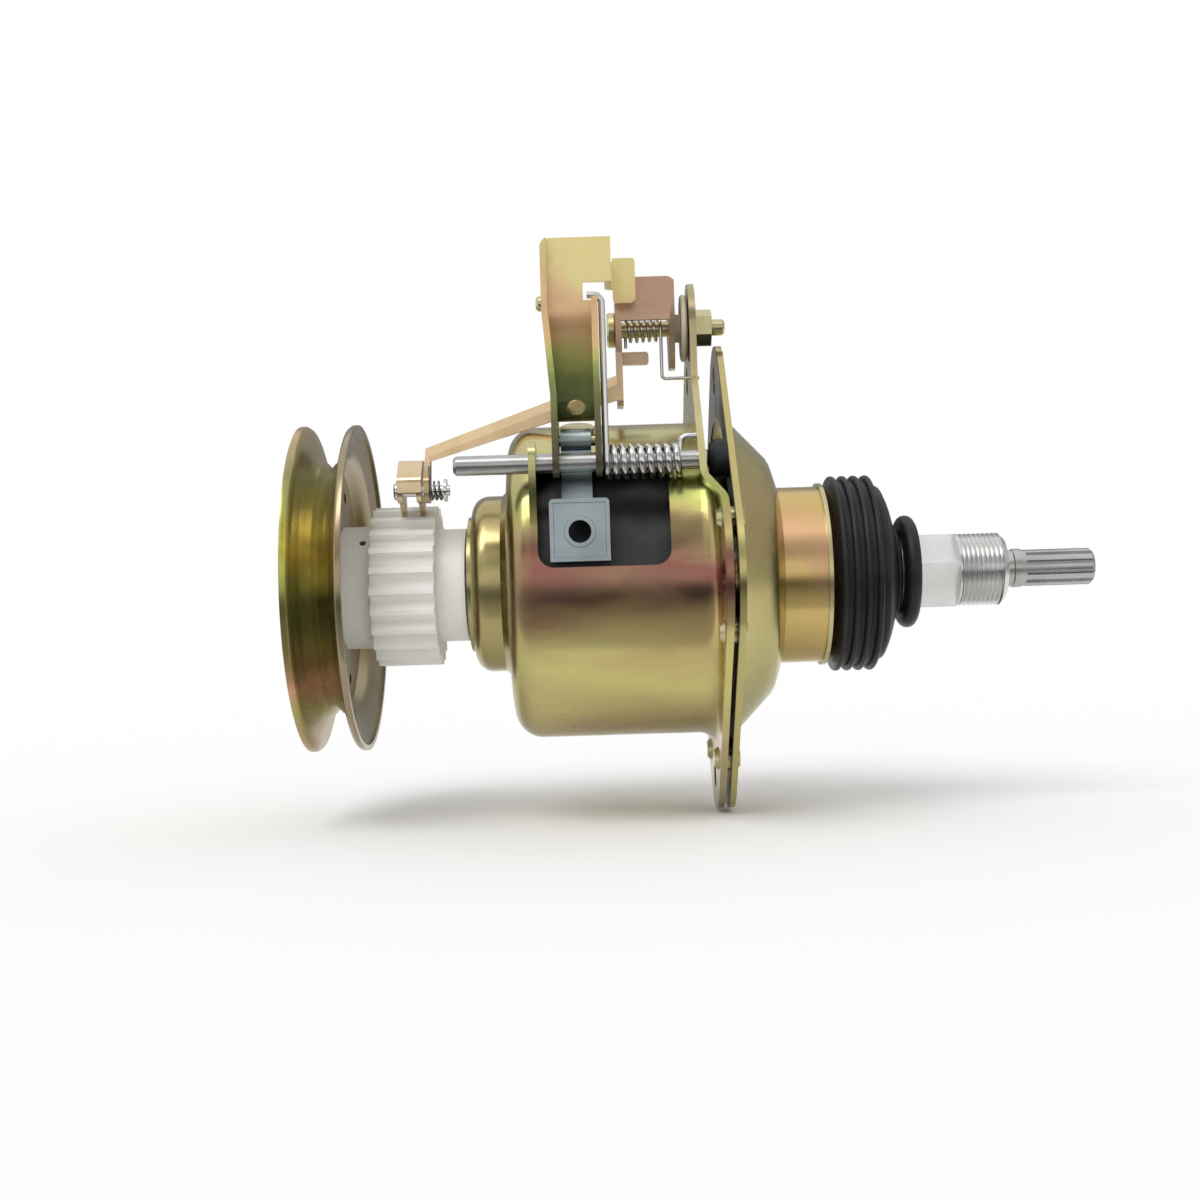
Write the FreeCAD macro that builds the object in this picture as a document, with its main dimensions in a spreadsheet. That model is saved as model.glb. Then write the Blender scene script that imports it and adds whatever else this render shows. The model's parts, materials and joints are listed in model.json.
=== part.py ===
import FreeCAD, Part
import math
import os

import Sketcher

# Two-speed clutch of a top-loading washing machine: a belt pulley at the left drives the
# pulsator shaft through a planet gear, or the whole drum through a wrap spring.
# X runs along the shafts towards the splined end, Z points to the brake lever, and the
# origin lies on the shaft axis in the outer face of the upper housing's square plate.

Vector = FreeCAD.Vector
PARTS_FOLDER = "parts"
LEAST_ARC = 4.5
WIRE_SIDES = 6
LEG_RUN = 3.0
LEG_BEND = 2.2

SIZES = {
    "sheet metal and clearances": {
        "sheet": 2.0,
        "thin_sheet": 1.6,
        "lever_sheet": 1.8,
        "seat_clearance": 0.02,
        "running_clearance": 0.06,
        "side_clearance": 0.4,
    },
    "housing plates": {
        "plate_half_diagonal": 80.0,
        "plate_corner_radius": 23.4,
        "plate_gap": 1.2,
        "bolt_circle_radius": 60.0,
        "bolt_hole_radius": 4.25,
        "rivet_circle_radius": 56.0,
        "rivet_angle": 16.0,
        "rivet_shank_radius": 2.0,
        "rivet_head_radius": 3.5,
        "rivet_head_height": 1.2,
    },
    "lower housing": {
        "cup_radius": 47.1,
        "cup_depth": 59.8,
        "cup_corner": 8.0,
        "cup_foot": 4.8,
        "cap_radius": 26.7,
        "cap_length": 11.6,
        "cap_corner": 5.0,
        "cap_foot": 2.5,
        "lip_radius": 20.5,
        "lip_length": 1.2,
        "lip_bore_radius": 18.0,
        "window_left": -55.6,
        "window_right": -18.5,
        "window_bottom": 3.4,
        "window_top": 36.0,
        "window_corner": 4.5,
        "joggle_start": 21.0,
        "joggle_end": 27.6,
        "joggle_bend": 2.5,
        "ear_offset": 5.0,
        "ear_radius": 13.0,
        "ear_neck_bottom": 50.0,
    },
    "upper housing": {
        "dome_foot_radius": 48.5,
        "dome_foot": 5.0,
        "dome_shoulder_radius": 35.5,
        "dome_shoulder_height": 12.5,
        "dome_shoulder": 4.0,
        "dome_top_radius": 27.9,
        "dome_height": 15.0,
        "collar_end": 30.6,
        "collar_corner": 1.6,
        "collar_bore_radius": 17.0,
    },
    "ball bearings and seals": {
        "bearing_width": 8.0,
        "upper_bearing_width": 11.0,
        "race_thickness": 3.4,
        "shield_thickness": 0.8,
        "shield_gap": 0.6,
        "one_way_width": 6.0,
        "oil_seal_width": 2.0,
        "retainer_width": 1.2,
        "retainer_height": 1.0,
    },
    "tub seal": {
        "seal_radius": 29.7,
        "seal_groove_depth": 1.5,
        "seal_rib_pitch": 3.45,
        "seal_rib_count": 4,
        "seal_shoulder_radius": 26.6,
        "seal_shoulder_length": 1.6,
        "seal_step_radius": 22.5,
        "seal_step_length": 1.9,
        "seal_cone_radius": 14.6,
        "seal_cone_length": 2.4,
        "seal_neck_radius": 12.9,
        "seal_neck_length": 1.6,
        "shaft_ring_radius": 17.1,
        "shaft_ring_length": 4.8,
        "shaft_ring_round": 1.5,
    },
    "spin shafts and drum": {
        "journal_radius": 12.5,
        "journal_end": 42.0,
        "neck_radius": 11.3,
        "square_start": 57.4,
        "square_end": 69.5,
        "square_flats": 16.0,
        "square_turn": 34.5,
        "thread_radius": 11.0,
        "thread_end": 84.3,
        "thread_nose": 1.6,
        "shaft_bore_radius": 7.0,
        "shaft_flange_radius": 24.0,
        "shaft_flange_thickness": 2.6,
        "bush_length": 10.0,
        "drum_radius": 39.0,
        "drum_corner": 3.0,
        "drum_right": -15.0,
        "drum_cover_thickness": 2.2,
        "clutch_radius": 11.0,
        "clutch_joint": -97.4,
        "band_left": -52.0,
        "band_width": 16.0,
        "lining_thickness": 2.0,
        "band_thickness": 0.9,
        "band_gap": 0.3,
        "band_start_angle": 178.0,
        "band_wrap_angle": 292.0,
        "anchor_angle": 112.0,
        "anchor_radius": 3.0,
        "anchor_head_radius": 5.0,
        "anchor_head_height": 1.6,
    },
    "planet gear": {
        "gear_module": 1.25,
        "sun_teeth": 12,
        "planet_teeth": 18,
        "planet_count": 4,
        "gear_left": -34.5,
        "gear_width": 11.0,
        "tooth_height": 0.78,
        "tooth_depth": 1.05,
        "tooth_share": 0.40,
        "tooth_tip_share": 0.24,
        "planet_pin_radius": 3.0,
        "carrier_radius": 26.0,
        "carrier_thickness": 2.4,
        "carrier_bore_radius": 9.6,
    },
    "pulsator shaft": {
        "pulsator_radius": 5.55,
        "pulsator_ring_start": 87.2,
        "spline_start": 90.8,
        "pulsator_end": 111.6,
        "spline_teeth": 11,
        "spline_depth": 0.8,
        "spline_gap": 1.5,
        "pulsator_chamfer": 0.9,
    },
    "pulley": {
        "pulley_radius": 49.5,
        "pulley_centre": -118.8,
        "groove_floor_radius": 38.2,
        "groove_floor_half": 3.2,
        "flange_spread": 3.4,
        "rim_lip": 1.9,
        "web_hole_count": 10,
        "web_hole_radius": 1.7,
        "web_hole_circle": 29.5,
        "hub_radius": 8.0,
        "input_radius": 5.0,
        "input_left": -131.0,
        "washer_radius": 10.0,
        "washer_thickness": 1.2,
        "nut_flats": 19.0,
        "nut_height": 6.5,
    },
    "ratchet wheel": {
        "ratchet_hub_radius": 18.6,
        "ratchet_hub_end": -106.2,
        "ratchet_tip_radius": 24.2,
        "ratchet_root_radius": 21.6,
        "ratchet_teeth": 24,
        "ratchet_teeth_end": -87.2,
        "ratchet_sleeve_radius": 17.1,
        "ratchet_right": -78.6,
        "ratchet_bore_radius": 13.0,
        "ratchet_collar": 2.6,
        "ratchet_tooth_land": 4.0,
        "ratchet_tooth_foot": 8.2,
        "ratchet_phase": 111.0,
        "clutch_wire": 1.5,
    },
    "brake lever": {
        "pivot_y": -41.2,
        "pivot_z": 32.8,
        "pivot_radius": 2.75,
        "pivot_left": -78.8,
        "pivot_right": -6.9,
        "pivot_chamfer": 0.8,
        "bumper_radius": 5.5,
        "lever_top": 95.0,
        "lever_left": -52.6,
        "lever_left_low": -50.8,
        "lever_right": -37.0,
        "lever_right_top": -33.0,
        "lever_front": -50.0,
        "lever_web_front": -46.2,
        "lever_web_knee_z": 72.0,
        "lever_web_heel_y": -36.2,
        "lever_web_heel_z": 51.0,
        "lever_web_end_y": -31.6,
        "lever_web_end_z": 46.0,
        "notch_bottom": 77.5,
        "notch_top": 82.6,
        "notch_left": -41.0,
        "tab_front": -26.0,
        "tab_right": -25.8,
        "tab_bottom": 80.0,
        "tab_top": 93.0,
        "web_hole": 2.6,
        "eye_y": -35.0,
        "eye_z": 39.6,
        "eye_radius": 3.3,
        "eye_pin_radius": 1.6,
        "lever_rivet_radius": 2.1,
        "lever_rivet_z": 76.5,
        "lever_rivet_y": -47.4,
        "lever_rivet_height": 1.5,
    },
    "band clevis": {
        "clevis_left": -52.2,
        "clevis_right": -35.4,
        "clevis_bottom": 5.0,
        "clevis_shoulder": 22.5,
        "clevis_front": -46.2,
        "clevis_depth": 4.6,
        "clevis_neck_left": -48.6,
        "clevis_neck_right": -40.0,
        "clevis_hole_radius": 3.2,
        "clevis_hole_z": 13.3,
        "clevis_neck_foot_z": 21.0,
        "clevis_neck_back_y": -36.4,
    },
    "lever spring": {
        "lever_wire": 0.95,
        "lever_coil_radius": 4.2,
        "lever_coil_left": -35.6,
        "lever_coil_pitch": 2.45,
        "lever_coil_turns": 8.5,
        "lever_leg_top": 79.0,
        "lever_hook_end": -40.0,
        "lever_leg_rise": 7.0,
    },
    "release fork": {
        "bolt_y": -8.0,
        "bolt_z": 75.0,
        "bolt_radius": 2.4,
        "bolt_head_radius": 5.2,
        "bolt_head_height": 2.4,
        "bolt_right": 1.0,
        "fork_nut_flats": 9.6,
        "fork_nut_height": 5.2,
        "fork_left": -31.8,
        "fork_right": -14.2,
        "fork_front": -18.2,
        "fork_top": 89.0,
        "fork_web_bottom": 76.3,
        "fork_back": 0.4,
        "fork_wall_bottom": 51.6,
        "fork_tip_z": 62.6,
        "lug_right": -21.8,
        "lug_bottom": 65.3,
        "lug_top": 69.2,
        "arm_left": -89.4,
        "arm_front_right": -16.6,
        "arm_front_left": -16.0,
        "arm_low_right": 53.1,
        "arm_high_right": 57.6,
        "arm_low_left": 36.2,
        "arm_high_left": 37.6,
        "arm_ridge_y": 3.2,
        "arm_ridge_z": 3.2,
        "bush_radius": 4.2,
        "bush_flange_radius": 10.0,
        "bush_flange_thickness": 1.7,
    },
    "fork spring": {
        "fork_wire": 0.5,
        "fork_coil_radius": 3.45,
        "fork_coil_left": -28.7,
        "fork_coil_pitch": 1.9,
        "fork_coil_turns": 5.5,
        "fork_leg_drop": 15.4,
    },
    "pawl": {
        "pawl_pin_y": -19.0,
        "pawl_pin_z": 27.7,
        "pawl_pin_radius": 1.6,
        "pawl_pin_head_radius": 2.6,
        "pawl_pin_head_height": 1.0,
        "pawl_pin_right": -82.0,
        "pawl_left": -97.2,
        "pawl_width": 7.2,
        "pawl_front": -22.6,
        "pawl_back": -8.6,
        "pawl_top": 37.0,
        "pawl_tip_y": -9.6,
        "pawl_tip_z": 21.25,
        "pawl_tip_slope": 0.75,
        "pawl_tip_width": 1.5,
        "pawl_round": 3.0,
        "pawl_wire": 0.35,
        "pawl_coil_radius": 2.6,
        "pawl_coil_pitch": 1.15,
        "pawl_coil_turns": 2.5,
        "pawl_leg_length": 7.0,
        "clip_radius": 3.3,
        "clip_thickness": 0.8,
    },
}


class Size:
    """A size or place: its number now, and the expression that binds it to the sheet."""

    def __init__(self, value, text):
        self.value = value
        self.text = text

    def __add__(self, other):
        other = as_size(other)
        return Size(self.value + other.value, f"({self.text} + {other.text})")

    def __radd__(self, other):
        return as_size(other) + self

    def __sub__(self, other):
        other = as_size(other)
        return Size(self.value - other.value, f"({self.text} - {other.text})")

    def __rsub__(self, other):
        return as_size(other) - self

    def __mul__(self, other):
        other = as_size(other)
        return Size(self.value * other.value, f"({self.text} * {other.text})")

    __rmul__ = __mul__

    def __truediv__(self, other):
        other = as_size(other)
        return Size(self.value / other.value, f"({self.text} / {other.text})")

    def __rtruediv__(self, other):
        return as_size(other) / self

    def __neg__(self):
        return as_size(-1) * self


def as_size(number):
    if isinstance(number, Size):
        return number
    return Size(float(number), f"({float(number):.9g})")


def sine(angle):
    angle = as_size(angle)
    return Size(math.sin(math.radians(angle.value)), f"sin({angle.text})")


def cosine(angle):
    angle = as_size(angle)
    return Size(math.cos(math.radians(angle.value)), f"cos({angle.text})")


def root(number):
    return Size(math.sqrt(number.value), f"sqrt({number.text})")


class Sizes:
    """Every driving dimension by its name in the sheet."""


doc = FreeCAD.newDocument("washing_machine_clutch")
sheet = doc.addObject("Spreadsheet::Sheet", "sizes")
s = Sizes()


def fill_sheet():
    row = 1
    for heading, group in SIZES.items():
        sheet.set(f"A{row}", heading)
        row += 1
        for name, value in group.items():
            sheet.set(f"A{row}", name.replace("_", " "))
            sheet.set(f"B{row}", str(value))
            sheet.setAlias(f"B{row}", name)
            setattr(s, name, Size(float(value), f"sizes.{name}"))
            row += 1


fill_sheet()
doc.recompute()
pieces = {}


def keep(thing, name):
    """Names a finished sub-part."""
    thing.Label = name
    pieces[name] = thing
    return thing


def bind(thing, prop, size):
    """Ties one property of a document object to the sheet."""
    thing.setExpression(prop, as_size(size).text)


# Outlines


def unit_step(first, second):
    """The direction from one corner to the next."""
    across = as_size(second[0]) - first[0]
    along = as_size(second[1]) - first[1]
    if abs(across.value) < 1e-9:
        return 0.0, math.copysign(1.0, along.value)
    if abs(along.value) < 1e-9:
        return math.copysign(1.0, across.value), 0.0
    length = root(across * across + along * along)
    return across / length, along / length


def moved(corner, steps, distance):
    """A corner moved by a distance along a direction whose parts may be plain numbers."""
    place = []
    for start, step in zip(corner[:2], steps):
        if isinstance(step, float) and step == 0.0:
            place.append(as_size(start))
        else:
            place.append(as_size(start) + as_size(step) * distance)
    return place


def sheet_loop(path, wall, side):
    """The closed outline of a bent sheet: a path of its outer face, and the same path a
    wall's thickness to the left (side 1) or right (side -1)."""
    steps = [unit_step(a, b) for a, b in zip(path, path[1:])]
    normals = [(-1 * b * side if b else 0.0, a * side if a else 0.0) for a, b in steps]
    inner = []
    for index, corner in enumerate(path):
        before = normals[max(index - 1, 0)]
        after = normals[min(index, len(normals) - 1)]
        both = [as_size(a) + b if (a or b) else 0.0 for a, b in zip(before, after)]
        if before is after:
            inner.append(moved(corner, before, wall))
            continue
        meet = as_size(1.0)
        for a, b in zip(before, after):
            if a and b:
                meet = meet + as_size(a) * b
        place = moved(corner, [part / meet if part else 0.0 for part in both], wall)
        if len(corner) > 2:
            first, second = steps[index - 1], steps[index]
            number = [as_size(part).value for part in first + second]
            turn = (number[0] * number[3] - number[1] * number[2]) * side
            radius = corner[2] - wall if turn > 0 else corner[2] + wall
            if radius.value > 0.05:
                place.append(radius)
        inner.append(place)
    return list(path) + inner[::-1]


def chamfered(corners):
    """The same closed outline with each rounding of a turned profile that is smaller than
    the least arc drawn as one straight chord."""
    result = []
    for index, corner in enumerate(corners):
        if len(corner) < 3 or corner[2].value >= LEAST_ARC:
            result.append(corner)
            continue
        entry = unit_step(corners[index - 1], corner)
        leave = unit_step(corner, corners[(index + 1) % len(corners)])
        turn = abs(as_size(entry[0]).value * as_size(leave[1]).value
                   - as_size(entry[1]).value * as_size(leave[0]).value)
        if turn < 0.02:
            result.append(corner[:2])
            continue
        along = as_size(0)
        for first, second in zip(entry, leave):
            if first and second:
                along = along + as_size(first) * second
        reach = corner[2] * root((1 - along) / (1 + along))
        back = [-1 * as_size(step) if step else 0.0 for step in entry]
        result.append(moved(corner, back, reach))
        result.append(moved(corner, leave, reach))
    return result


def draw_outline(sketch, corners):
    """A closed outline through corners (x, y) or (x, y, rounding), every one bound."""
    points = []
    for corner in corners:
        points.append(Vector(as_size(corner[0]).value, as_size(corner[1]).value, 0))
    count = len(corners)
    starts, ends = list(points), list(points)
    arcs = {}
    for index, corner in enumerate(corners):
        if len(corner) < 3:
            continue
        here = points[index]
        back = (points[index - 1] - here).normalize()
        ahead = (points[(index + 1) % count] - here).normalize()
        opening = back.getAngle(ahead)
        reach = corner[2].value / math.tan(opening / 2)
        middle = (back + ahead).normalize()
        centre = here + middle * (corner[2].value / math.sin(opening / 2))
        ends[index] = here + back * reach
        starts[index] = here + ahead * reach
        arcs[index] = Part.Arc(ends[index], centre - middle * corner[2].value, starts[index])
    lines = []
    for index in range(count):
        line = Part.LineSegment(starts[index], ends[(index + 1) % count])
        lines.append(sketch.addGeometry(line))
    for index, corner in enumerate(corners):
        before, after = lines[index - 1], lines[index]
        if index in arcs:
            mark = sketch.addGeometry(Part.Point(points[index]), True)
            bend = sketch.addGeometry(arcs[index])
            entry, leave = (1, 2)
            if sketch.getPoint(bend, 1).distanceToPoint(ends[index]) > 1e-6:
                entry, leave = (2, 1)
            sketch.addConstraint(Sketcher.Constraint("Tangent", before, 2, bend, entry))
            sketch.addConstraint(Sketcher.Constraint("Tangent", bend, leave, after, 1))
            sketch.addConstraint(Sketcher.Constraint("PointOnObject", mark, 1, before))
            sketch.addConstraint(Sketcher.Constraint("PointOnObject", mark, 1, after))
            number = sketch.addConstraint(Sketcher.Constraint("Radius", bend, corner[2].value))
            sketch.setExpression(f"Constraints[{number}]", corner[2].text)
            place, end = mark, 1
        else:
            sketch.addConstraint(Sketcher.Constraint("Coincident", before, 2, after, 1))
            place, end = after, 1
        for kind, size in (("DistanceX", corner[0]), ("DistanceY", corner[1])):
            size = as_size(size)
            rule = Sketcher.Constraint(kind, place, end, size.value)
            number = sketch.addConstraint(rule)
            sketch.setExpression(f"Constraints[{number}]", size.text)


def draw_circle(sketch, radius, across=0, along=0):
    """A circle whose centre and radius are bound."""
    across, along, radius = as_size(across), as_size(along), as_size(radius)
    ring = Part.Circle(Vector(across.value, along.value, 0), Vector(0, 0, 1), radius.value)
    ring = sketch.addGeometry(ring)
    for kind, args, size in (
        ("DistanceX", (ring, 3), across),
        ("DistanceY", (ring, 3), along),
        ("Radius", (ring,), radius),
    ):
        number = sketch.addConstraint(Sketcher.Constraint(kind, *args, size.value))
        sketch.setExpression(f"Constraints[{number}]", size.text)


def body_sketch(body, plane, name, offset=None):
    """An empty sketch on one of its own body's origin planes."""
    sketch = body.newObject("Sketcher::SketchObject", name)
    origin = [part for part in body.Origin.OriginFeatures if part.Role == plane]
    sketch.AttachmentSupport = (origin[0], [""])
    sketch.MapMode = "FlatFace"
    if offset is not None:
        bind(sketch, "AttachmentOffset.Base.z", offset)
    return sketch


PLANE_TURNS = {
    "XZ_Plane": FreeCAD.Rotation(Vector(1, 0, 0), 90),
    "YZ_Plane": FreeCAD.Rotation(0.5, 0.5, 0.5, 0.5),
    "XY_Plane": FreeCAD.Rotation(),
}


def free_sketch(plane, name):
    sketch = doc.addObject("Sketcher::SketchObject", name)
    sketch.Placement = FreeCAD.Placement(Vector(), PLANE_TURNS[plane])
    return sketch


# Solids


def turned(name, corners, centre=None, angle=None):
    """A body turned about the X axis, or about a line beside it."""
    body = doc.addObject("PartDesign::Body", name)
    sketch = body_sketch(body, "XY_Plane", f"{name}_profile")
    draw_outline(sketch, chamfered(corners))
    revolution = body.newObject("PartDesign::Revolution", f"{name}_turned")
    revolution.Profile = sketch
    revolution.ReferenceAxis = (sketch, ["H_Axis"])
    revolution.Angle = 360
    if angle is not None:
        bind(revolution, "Angle", angle)
    sketch.Visibility = False
    if centre is not None:
        bind(body, "Placement.Base.y", centre[0])
        bind(body, "Placement.Base.z", centre[1])
    return body


def extruded(name, sketch, plane, low, high):
    """A free sketch extruded from low to high along the axis that its plane faces."""
    solid = doc.addObject("Part::Extrusion", name)
    solid.Base = sketch
    solid.DirMode = "Normal"
    solid.Solid = True
    low, high = as_size(low), as_size(high)
    if plane == "XZ_Plane":
        low, high = -high, -low
    bind(solid, "LengthFwd", high)
    bind(solid, "LengthRev", -low)
    return solid


def prism(name, plane, corners, low, high):
    sketch = free_sketch(plane, f"{name}_outline")
    draw_outline(sketch, corners)
    return extruded(name, sketch, plane, low, high)


def rod(name, radius, low, high, centre=(0, 0)):
    """A cylinder along X."""
    solid = doc.addObject("Part::Cylinder", name)
    solid.Placement = FreeCAD.Placement(Vector(), FreeCAD.Rotation(Vector(0, 1, 0), 90))
    bind(solid, "Radius", radius)
    bind(solid, "Height", as_size(high) - low)
    bind(solid, "Placement.Base.x", low)
    bind(solid, "Placement.Base.y", centre[0])
    bind(solid, "Placement.Base.z", centre[1])
    return solid


def joined(name, *solids):
    fusion = doc.addObject("Part::MultiFuse", name)
    fusion.Shapes = list(solids)
    fusion.Refine = True
    return fusion


def shared(name, *solids):
    overlap = doc.addObject("Part::MultiCommon", name)
    overlap.Shapes = list(solids)
    return overlap


def cut(name, base, *tools):
    tool = tools[0] if len(tools) == 1 else joined(f"{name}_tools", *tools)
    result = doc.addObject("Part::Cut", name)
    result.Base = base
    result.Tool = tool
    return result


def grouped(name, *solids):
    group = doc.addObject("Part::Compound", name)
    group.Links = list(solids)
    return group


def polygon_corners(count, flats, turn=0):
    """The corners of a regular polygon of a width across flats."""
    reach = flats / (2 * cosine(180 / count))
    corners = []
    for index in range(count):
        angle = turn + as_size(360 * (index + 0.5) / count)
        corners.append((reach * cosine(angle), reach * sine(angle)))
    return corners


# Places along the shaft that several pieces share

plate_left = -(s.sheet + s.plate_gap)
cup_mouth = plate_left - s.sheet
ear_left = cup_mouth - s.ear_offset
ear_right = ear_left + s.sheet
cup_end = cup_mouth - s.cup_depth
cap_end = cup_end - s.cap_length
lip_end = cap_end - s.lip_length
cup_inside = s.cup_radius - s.sheet
cap_inside = s.cap_radius - s.sheet
FAR = 95.0
PAST = 5.0


# Housings


def plate_outline():
    """The square plate, standing on its corner."""
    reach, corner = s.plate_half_diagonal, s.plate_corner_radius
    return [(-reach, 0, corner), (0, -reach, corner), (reach, 0, corner), (0, reach, corner)]


def plate_holes(name, radius, circle, angles, low, high):
    tools = []
    for index, angle in enumerate(angles):
        place = (circle * cosine(angle), circle * sine(angle))
        tools.append(rod(f"{name}_{index}", radius, low, high, place))
    return tools


BOLT_ANGLES = (0, 90, 180, 270)


def rivet_angles():
    """Two rivets beside each plate corner but the top one."""
    angles = []
    for corner in (0, 180, 270):
        angles.append(corner + s.rivet_angle)
        angles.append(corner - s.rivet_angle)
    return angles


def make_lower_housing():
    cup_path = [
        (cup_mouth, s.cup_radius + s.cup_foot + 2),
        (cup_mouth, s.cup_radius, s.cup_foot),
        (cup_end, s.cup_radius, s.cup_corner),
        (cup_end, s.cap_radius, s.cap_foot),
        (cap_end, s.cap_radius, s.cap_corner),
        (cap_end, s.lip_radius),
        (lip_end, s.lip_radius),
        (lip_end, s.lip_bore_radius),
        (cap_end + s.sheet, s.lip_bore_radius),
        (cap_end + s.sheet, cap_inside),
        (cup_end + s.sheet, cap_inside),
        (cup_end + s.sheet, cup_inside, s.cup_corner - s.sheet),
        (plate_left, cup_inside, s.cup_foot + s.sheet),
        (plate_left, s.cup_radius + s.cup_foot + 2),
    ]
    cup = turned("cup_shell", cup_path)
    band_path = [
        (cup_mouth, -FAR),
        (cup_mouth, s.joggle_start, s.joggle_bend),
        (ear_left, s.joggle_end, s.joggle_bend + s.sheet),
        (ear_left, FAR),
    ]
    strip = sheet_loop(band_path, s.sheet, -1)
    plate = prism("flange_strip", "XZ_Plane", strip, -FAR, FAR)
    outline = prism("flange_square", "YZ_Plane", plate_outline(), -40, PAST)
    lobe = rod("ear_lobe", s.ear_radius, -40, PAST, (s.bolt_y, s.bolt_z))
    neck_corners = [
        (s.bolt_y - s.ear_radius, s.ear_neck_bottom),
        (s.bolt_y + s.ear_radius, s.ear_neck_bottom),
        (s.bolt_y + s.ear_radius, s.bolt_z),
        (s.bolt_y - s.ear_radius, s.bolt_z),
    ]
    neck = prism("ear_neck", "YZ_Plane", neck_corners, -40, PAST)
    flange = shared("flange_plate", plate, joined("flange_outline", outline, lobe, neck))
    mouth = rod("flange_mouth", cup_inside, -40, PAST)
    beyond = [
        (ear_right, s.joggle_end),
        (ear_right, FAR),
        (PAST, FAR),
        (PAST, s.joggle_start),
        (plate_left, s.joggle_start),
    ]
    beyond_ear = prism("behind_ear", "XZ_Plane", beyond, -FAR, FAR)
    trimmed_cup = cut("cup_trimmed", cup, beyond_ear)
    support = pin_support()
    whole = joined("lower_blank", trimmed_cup, cut("flange_ring", flange, mouth), support)
    tools = [window_tool()]
    tools += plate_holes("lower_bolt", s.bolt_hole_radius, s.bolt_circle_radius, BOLT_ANGLES,
                         -40, PAST)
    rivet_hole = s.rivet_shank_radius + s.seat_clearance
    tools += plate_holes("lower_rivet", rivet_hole, s.rivet_circle_radius, rivet_angles(),
                         -40, PAST)
    pivot_hole = s.pivot_radius + s.seat_clearance
    tools.append(rod("pivot_hole", pivot_hole, -60, PAST, (s.pivot_y, s.pivot_z)))
    bolt_hole = s.bolt_radius + s.seat_clearance
    tools.append(rod("fork_bolt_hole", bolt_hole, -40, PAST, (s.bolt_y, s.bolt_z)))
    leg_hole = s.fork_wire + s.side_clearance
    leg_z = s.bolt_z - s.fork_leg_drop
    leg_y = s.bolt_y - s.fork_coil_radius
    tools.append(rod("spring_leg_hole", leg_hole, -40, PAST, (leg_y, leg_z)))
    leg_y = s.pivot_y + s.lever_coil_radius
    leg_hole = s.lever_wire + s.side_clearance
    leg_z = s.pivot_z + s.lever_leg_rise
    tools.append(rod("lever_leg_hole", leg_hole, -40, -3, (leg_y, leg_z)))
    tools.append(anchor_rod("anchor_hole", s.anchor_radius + s.seat_clearance,
                            s.cup_radius - 8, 14))
    keep(cut("lower_housing_cut", whole, *tools), "lower_housing")


def pin_support():
    """The ear turned out of the window's left edge, which carries the lever's pivot pin."""
    corners = [
        (-44.0, 15.0),
        (s.pivot_y - 6.2, 20.0),
        (s.pivot_y - 6.2, s.pivot_z + 6.0, as_size(4.5)),
        (s.pivot_y + 6.5, s.pivot_z + 6.0, as_size(3.0)),
        (-28.0, 34.0),
        (-38.0, 15.0),
    ]
    ear = prism("support_ear", "YZ_Plane", corners, s.window_left - s.sheet, s.window_left)
    inside = rod("support_inside", s.cup_radius - s.sheet / 2, -60, -20)
    return cut("support_trimmed", ear, inside)


def window_tool():
    corners = [
        (s.window_left, s.window_bottom, s.window_corner),
        (s.window_right, s.window_bottom, s.window_corner),
        (s.window_right, s.window_top, s.window_corner),
        (s.window_left, s.window_top, s.window_corner),
    ]
    return prism("window", "XZ_Plane", corners, -60, -20)


def anchor_rod(name, radius, start, height):
    """A cylinder that stands radially on the cup at the band's anchor."""
    solid = doc.addObject("Part::Cylinder", name)
    turn = s.anchor_angle - 90
    solid.Placement = FreeCAD.Placement(Vector(), FreeCAD.Rotation(Vector(1, 0, 0), turn.value))
    bind(solid, "Placement.Rotation.Angle", turn)
    bind(solid, "Radius", radius)
    bind(solid, "Height", height)
    bind(solid, "Placement.Base.x", s.band_left + s.band_width / 2)
    bind(solid, "Placement.Base.y", start * cosine(s.anchor_angle))
    bind(solid, "Placement.Base.z", start * sine(s.anchor_angle))
    return solid


def make_upper_housing():
    path = [
        (0, s.dome_foot_radius + s.dome_foot + 2),
        (0, s.dome_foot_radius, s.dome_foot),
        (s.dome_shoulder_height, s.dome_shoulder_radius, s.dome_shoulder),
        (s.dome_height, s.dome_top_radius),
        (s.dome_height, s.cap_radius),
        (s.collar_end, s.cap_radius, s.collar_corner),
        (s.collar_end, s.collar_bore_radius),
    ]
    dome = turned("dome_shell", sheet_loop(path, s.sheet, -1))
    plate = prism("upper_square", "YZ_Plane", plate_outline(), -s.sheet, 0)
    mouth = rod("upper_mouth", s.dome_foot_radius, -PAST, PAST)
    blank = joined("upper_blank", dome, cut("upper_ring", plate, mouth))
    tools = plate_holes("upper_bolt", s.bolt_hole_radius, s.bolt_circle_radius, BOLT_ANGLES,
                        -PAST, PAST)
    rivet_hole = s.rivet_shank_radius + s.seat_clearance
    tools += plate_holes("upper_rivet", rivet_hole, s.rivet_circle_radius, rivet_angles(),
                         -PAST, PAST)
    keep(cut("upper_housing_cut", blank, *tools), "upper_housing")


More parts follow.
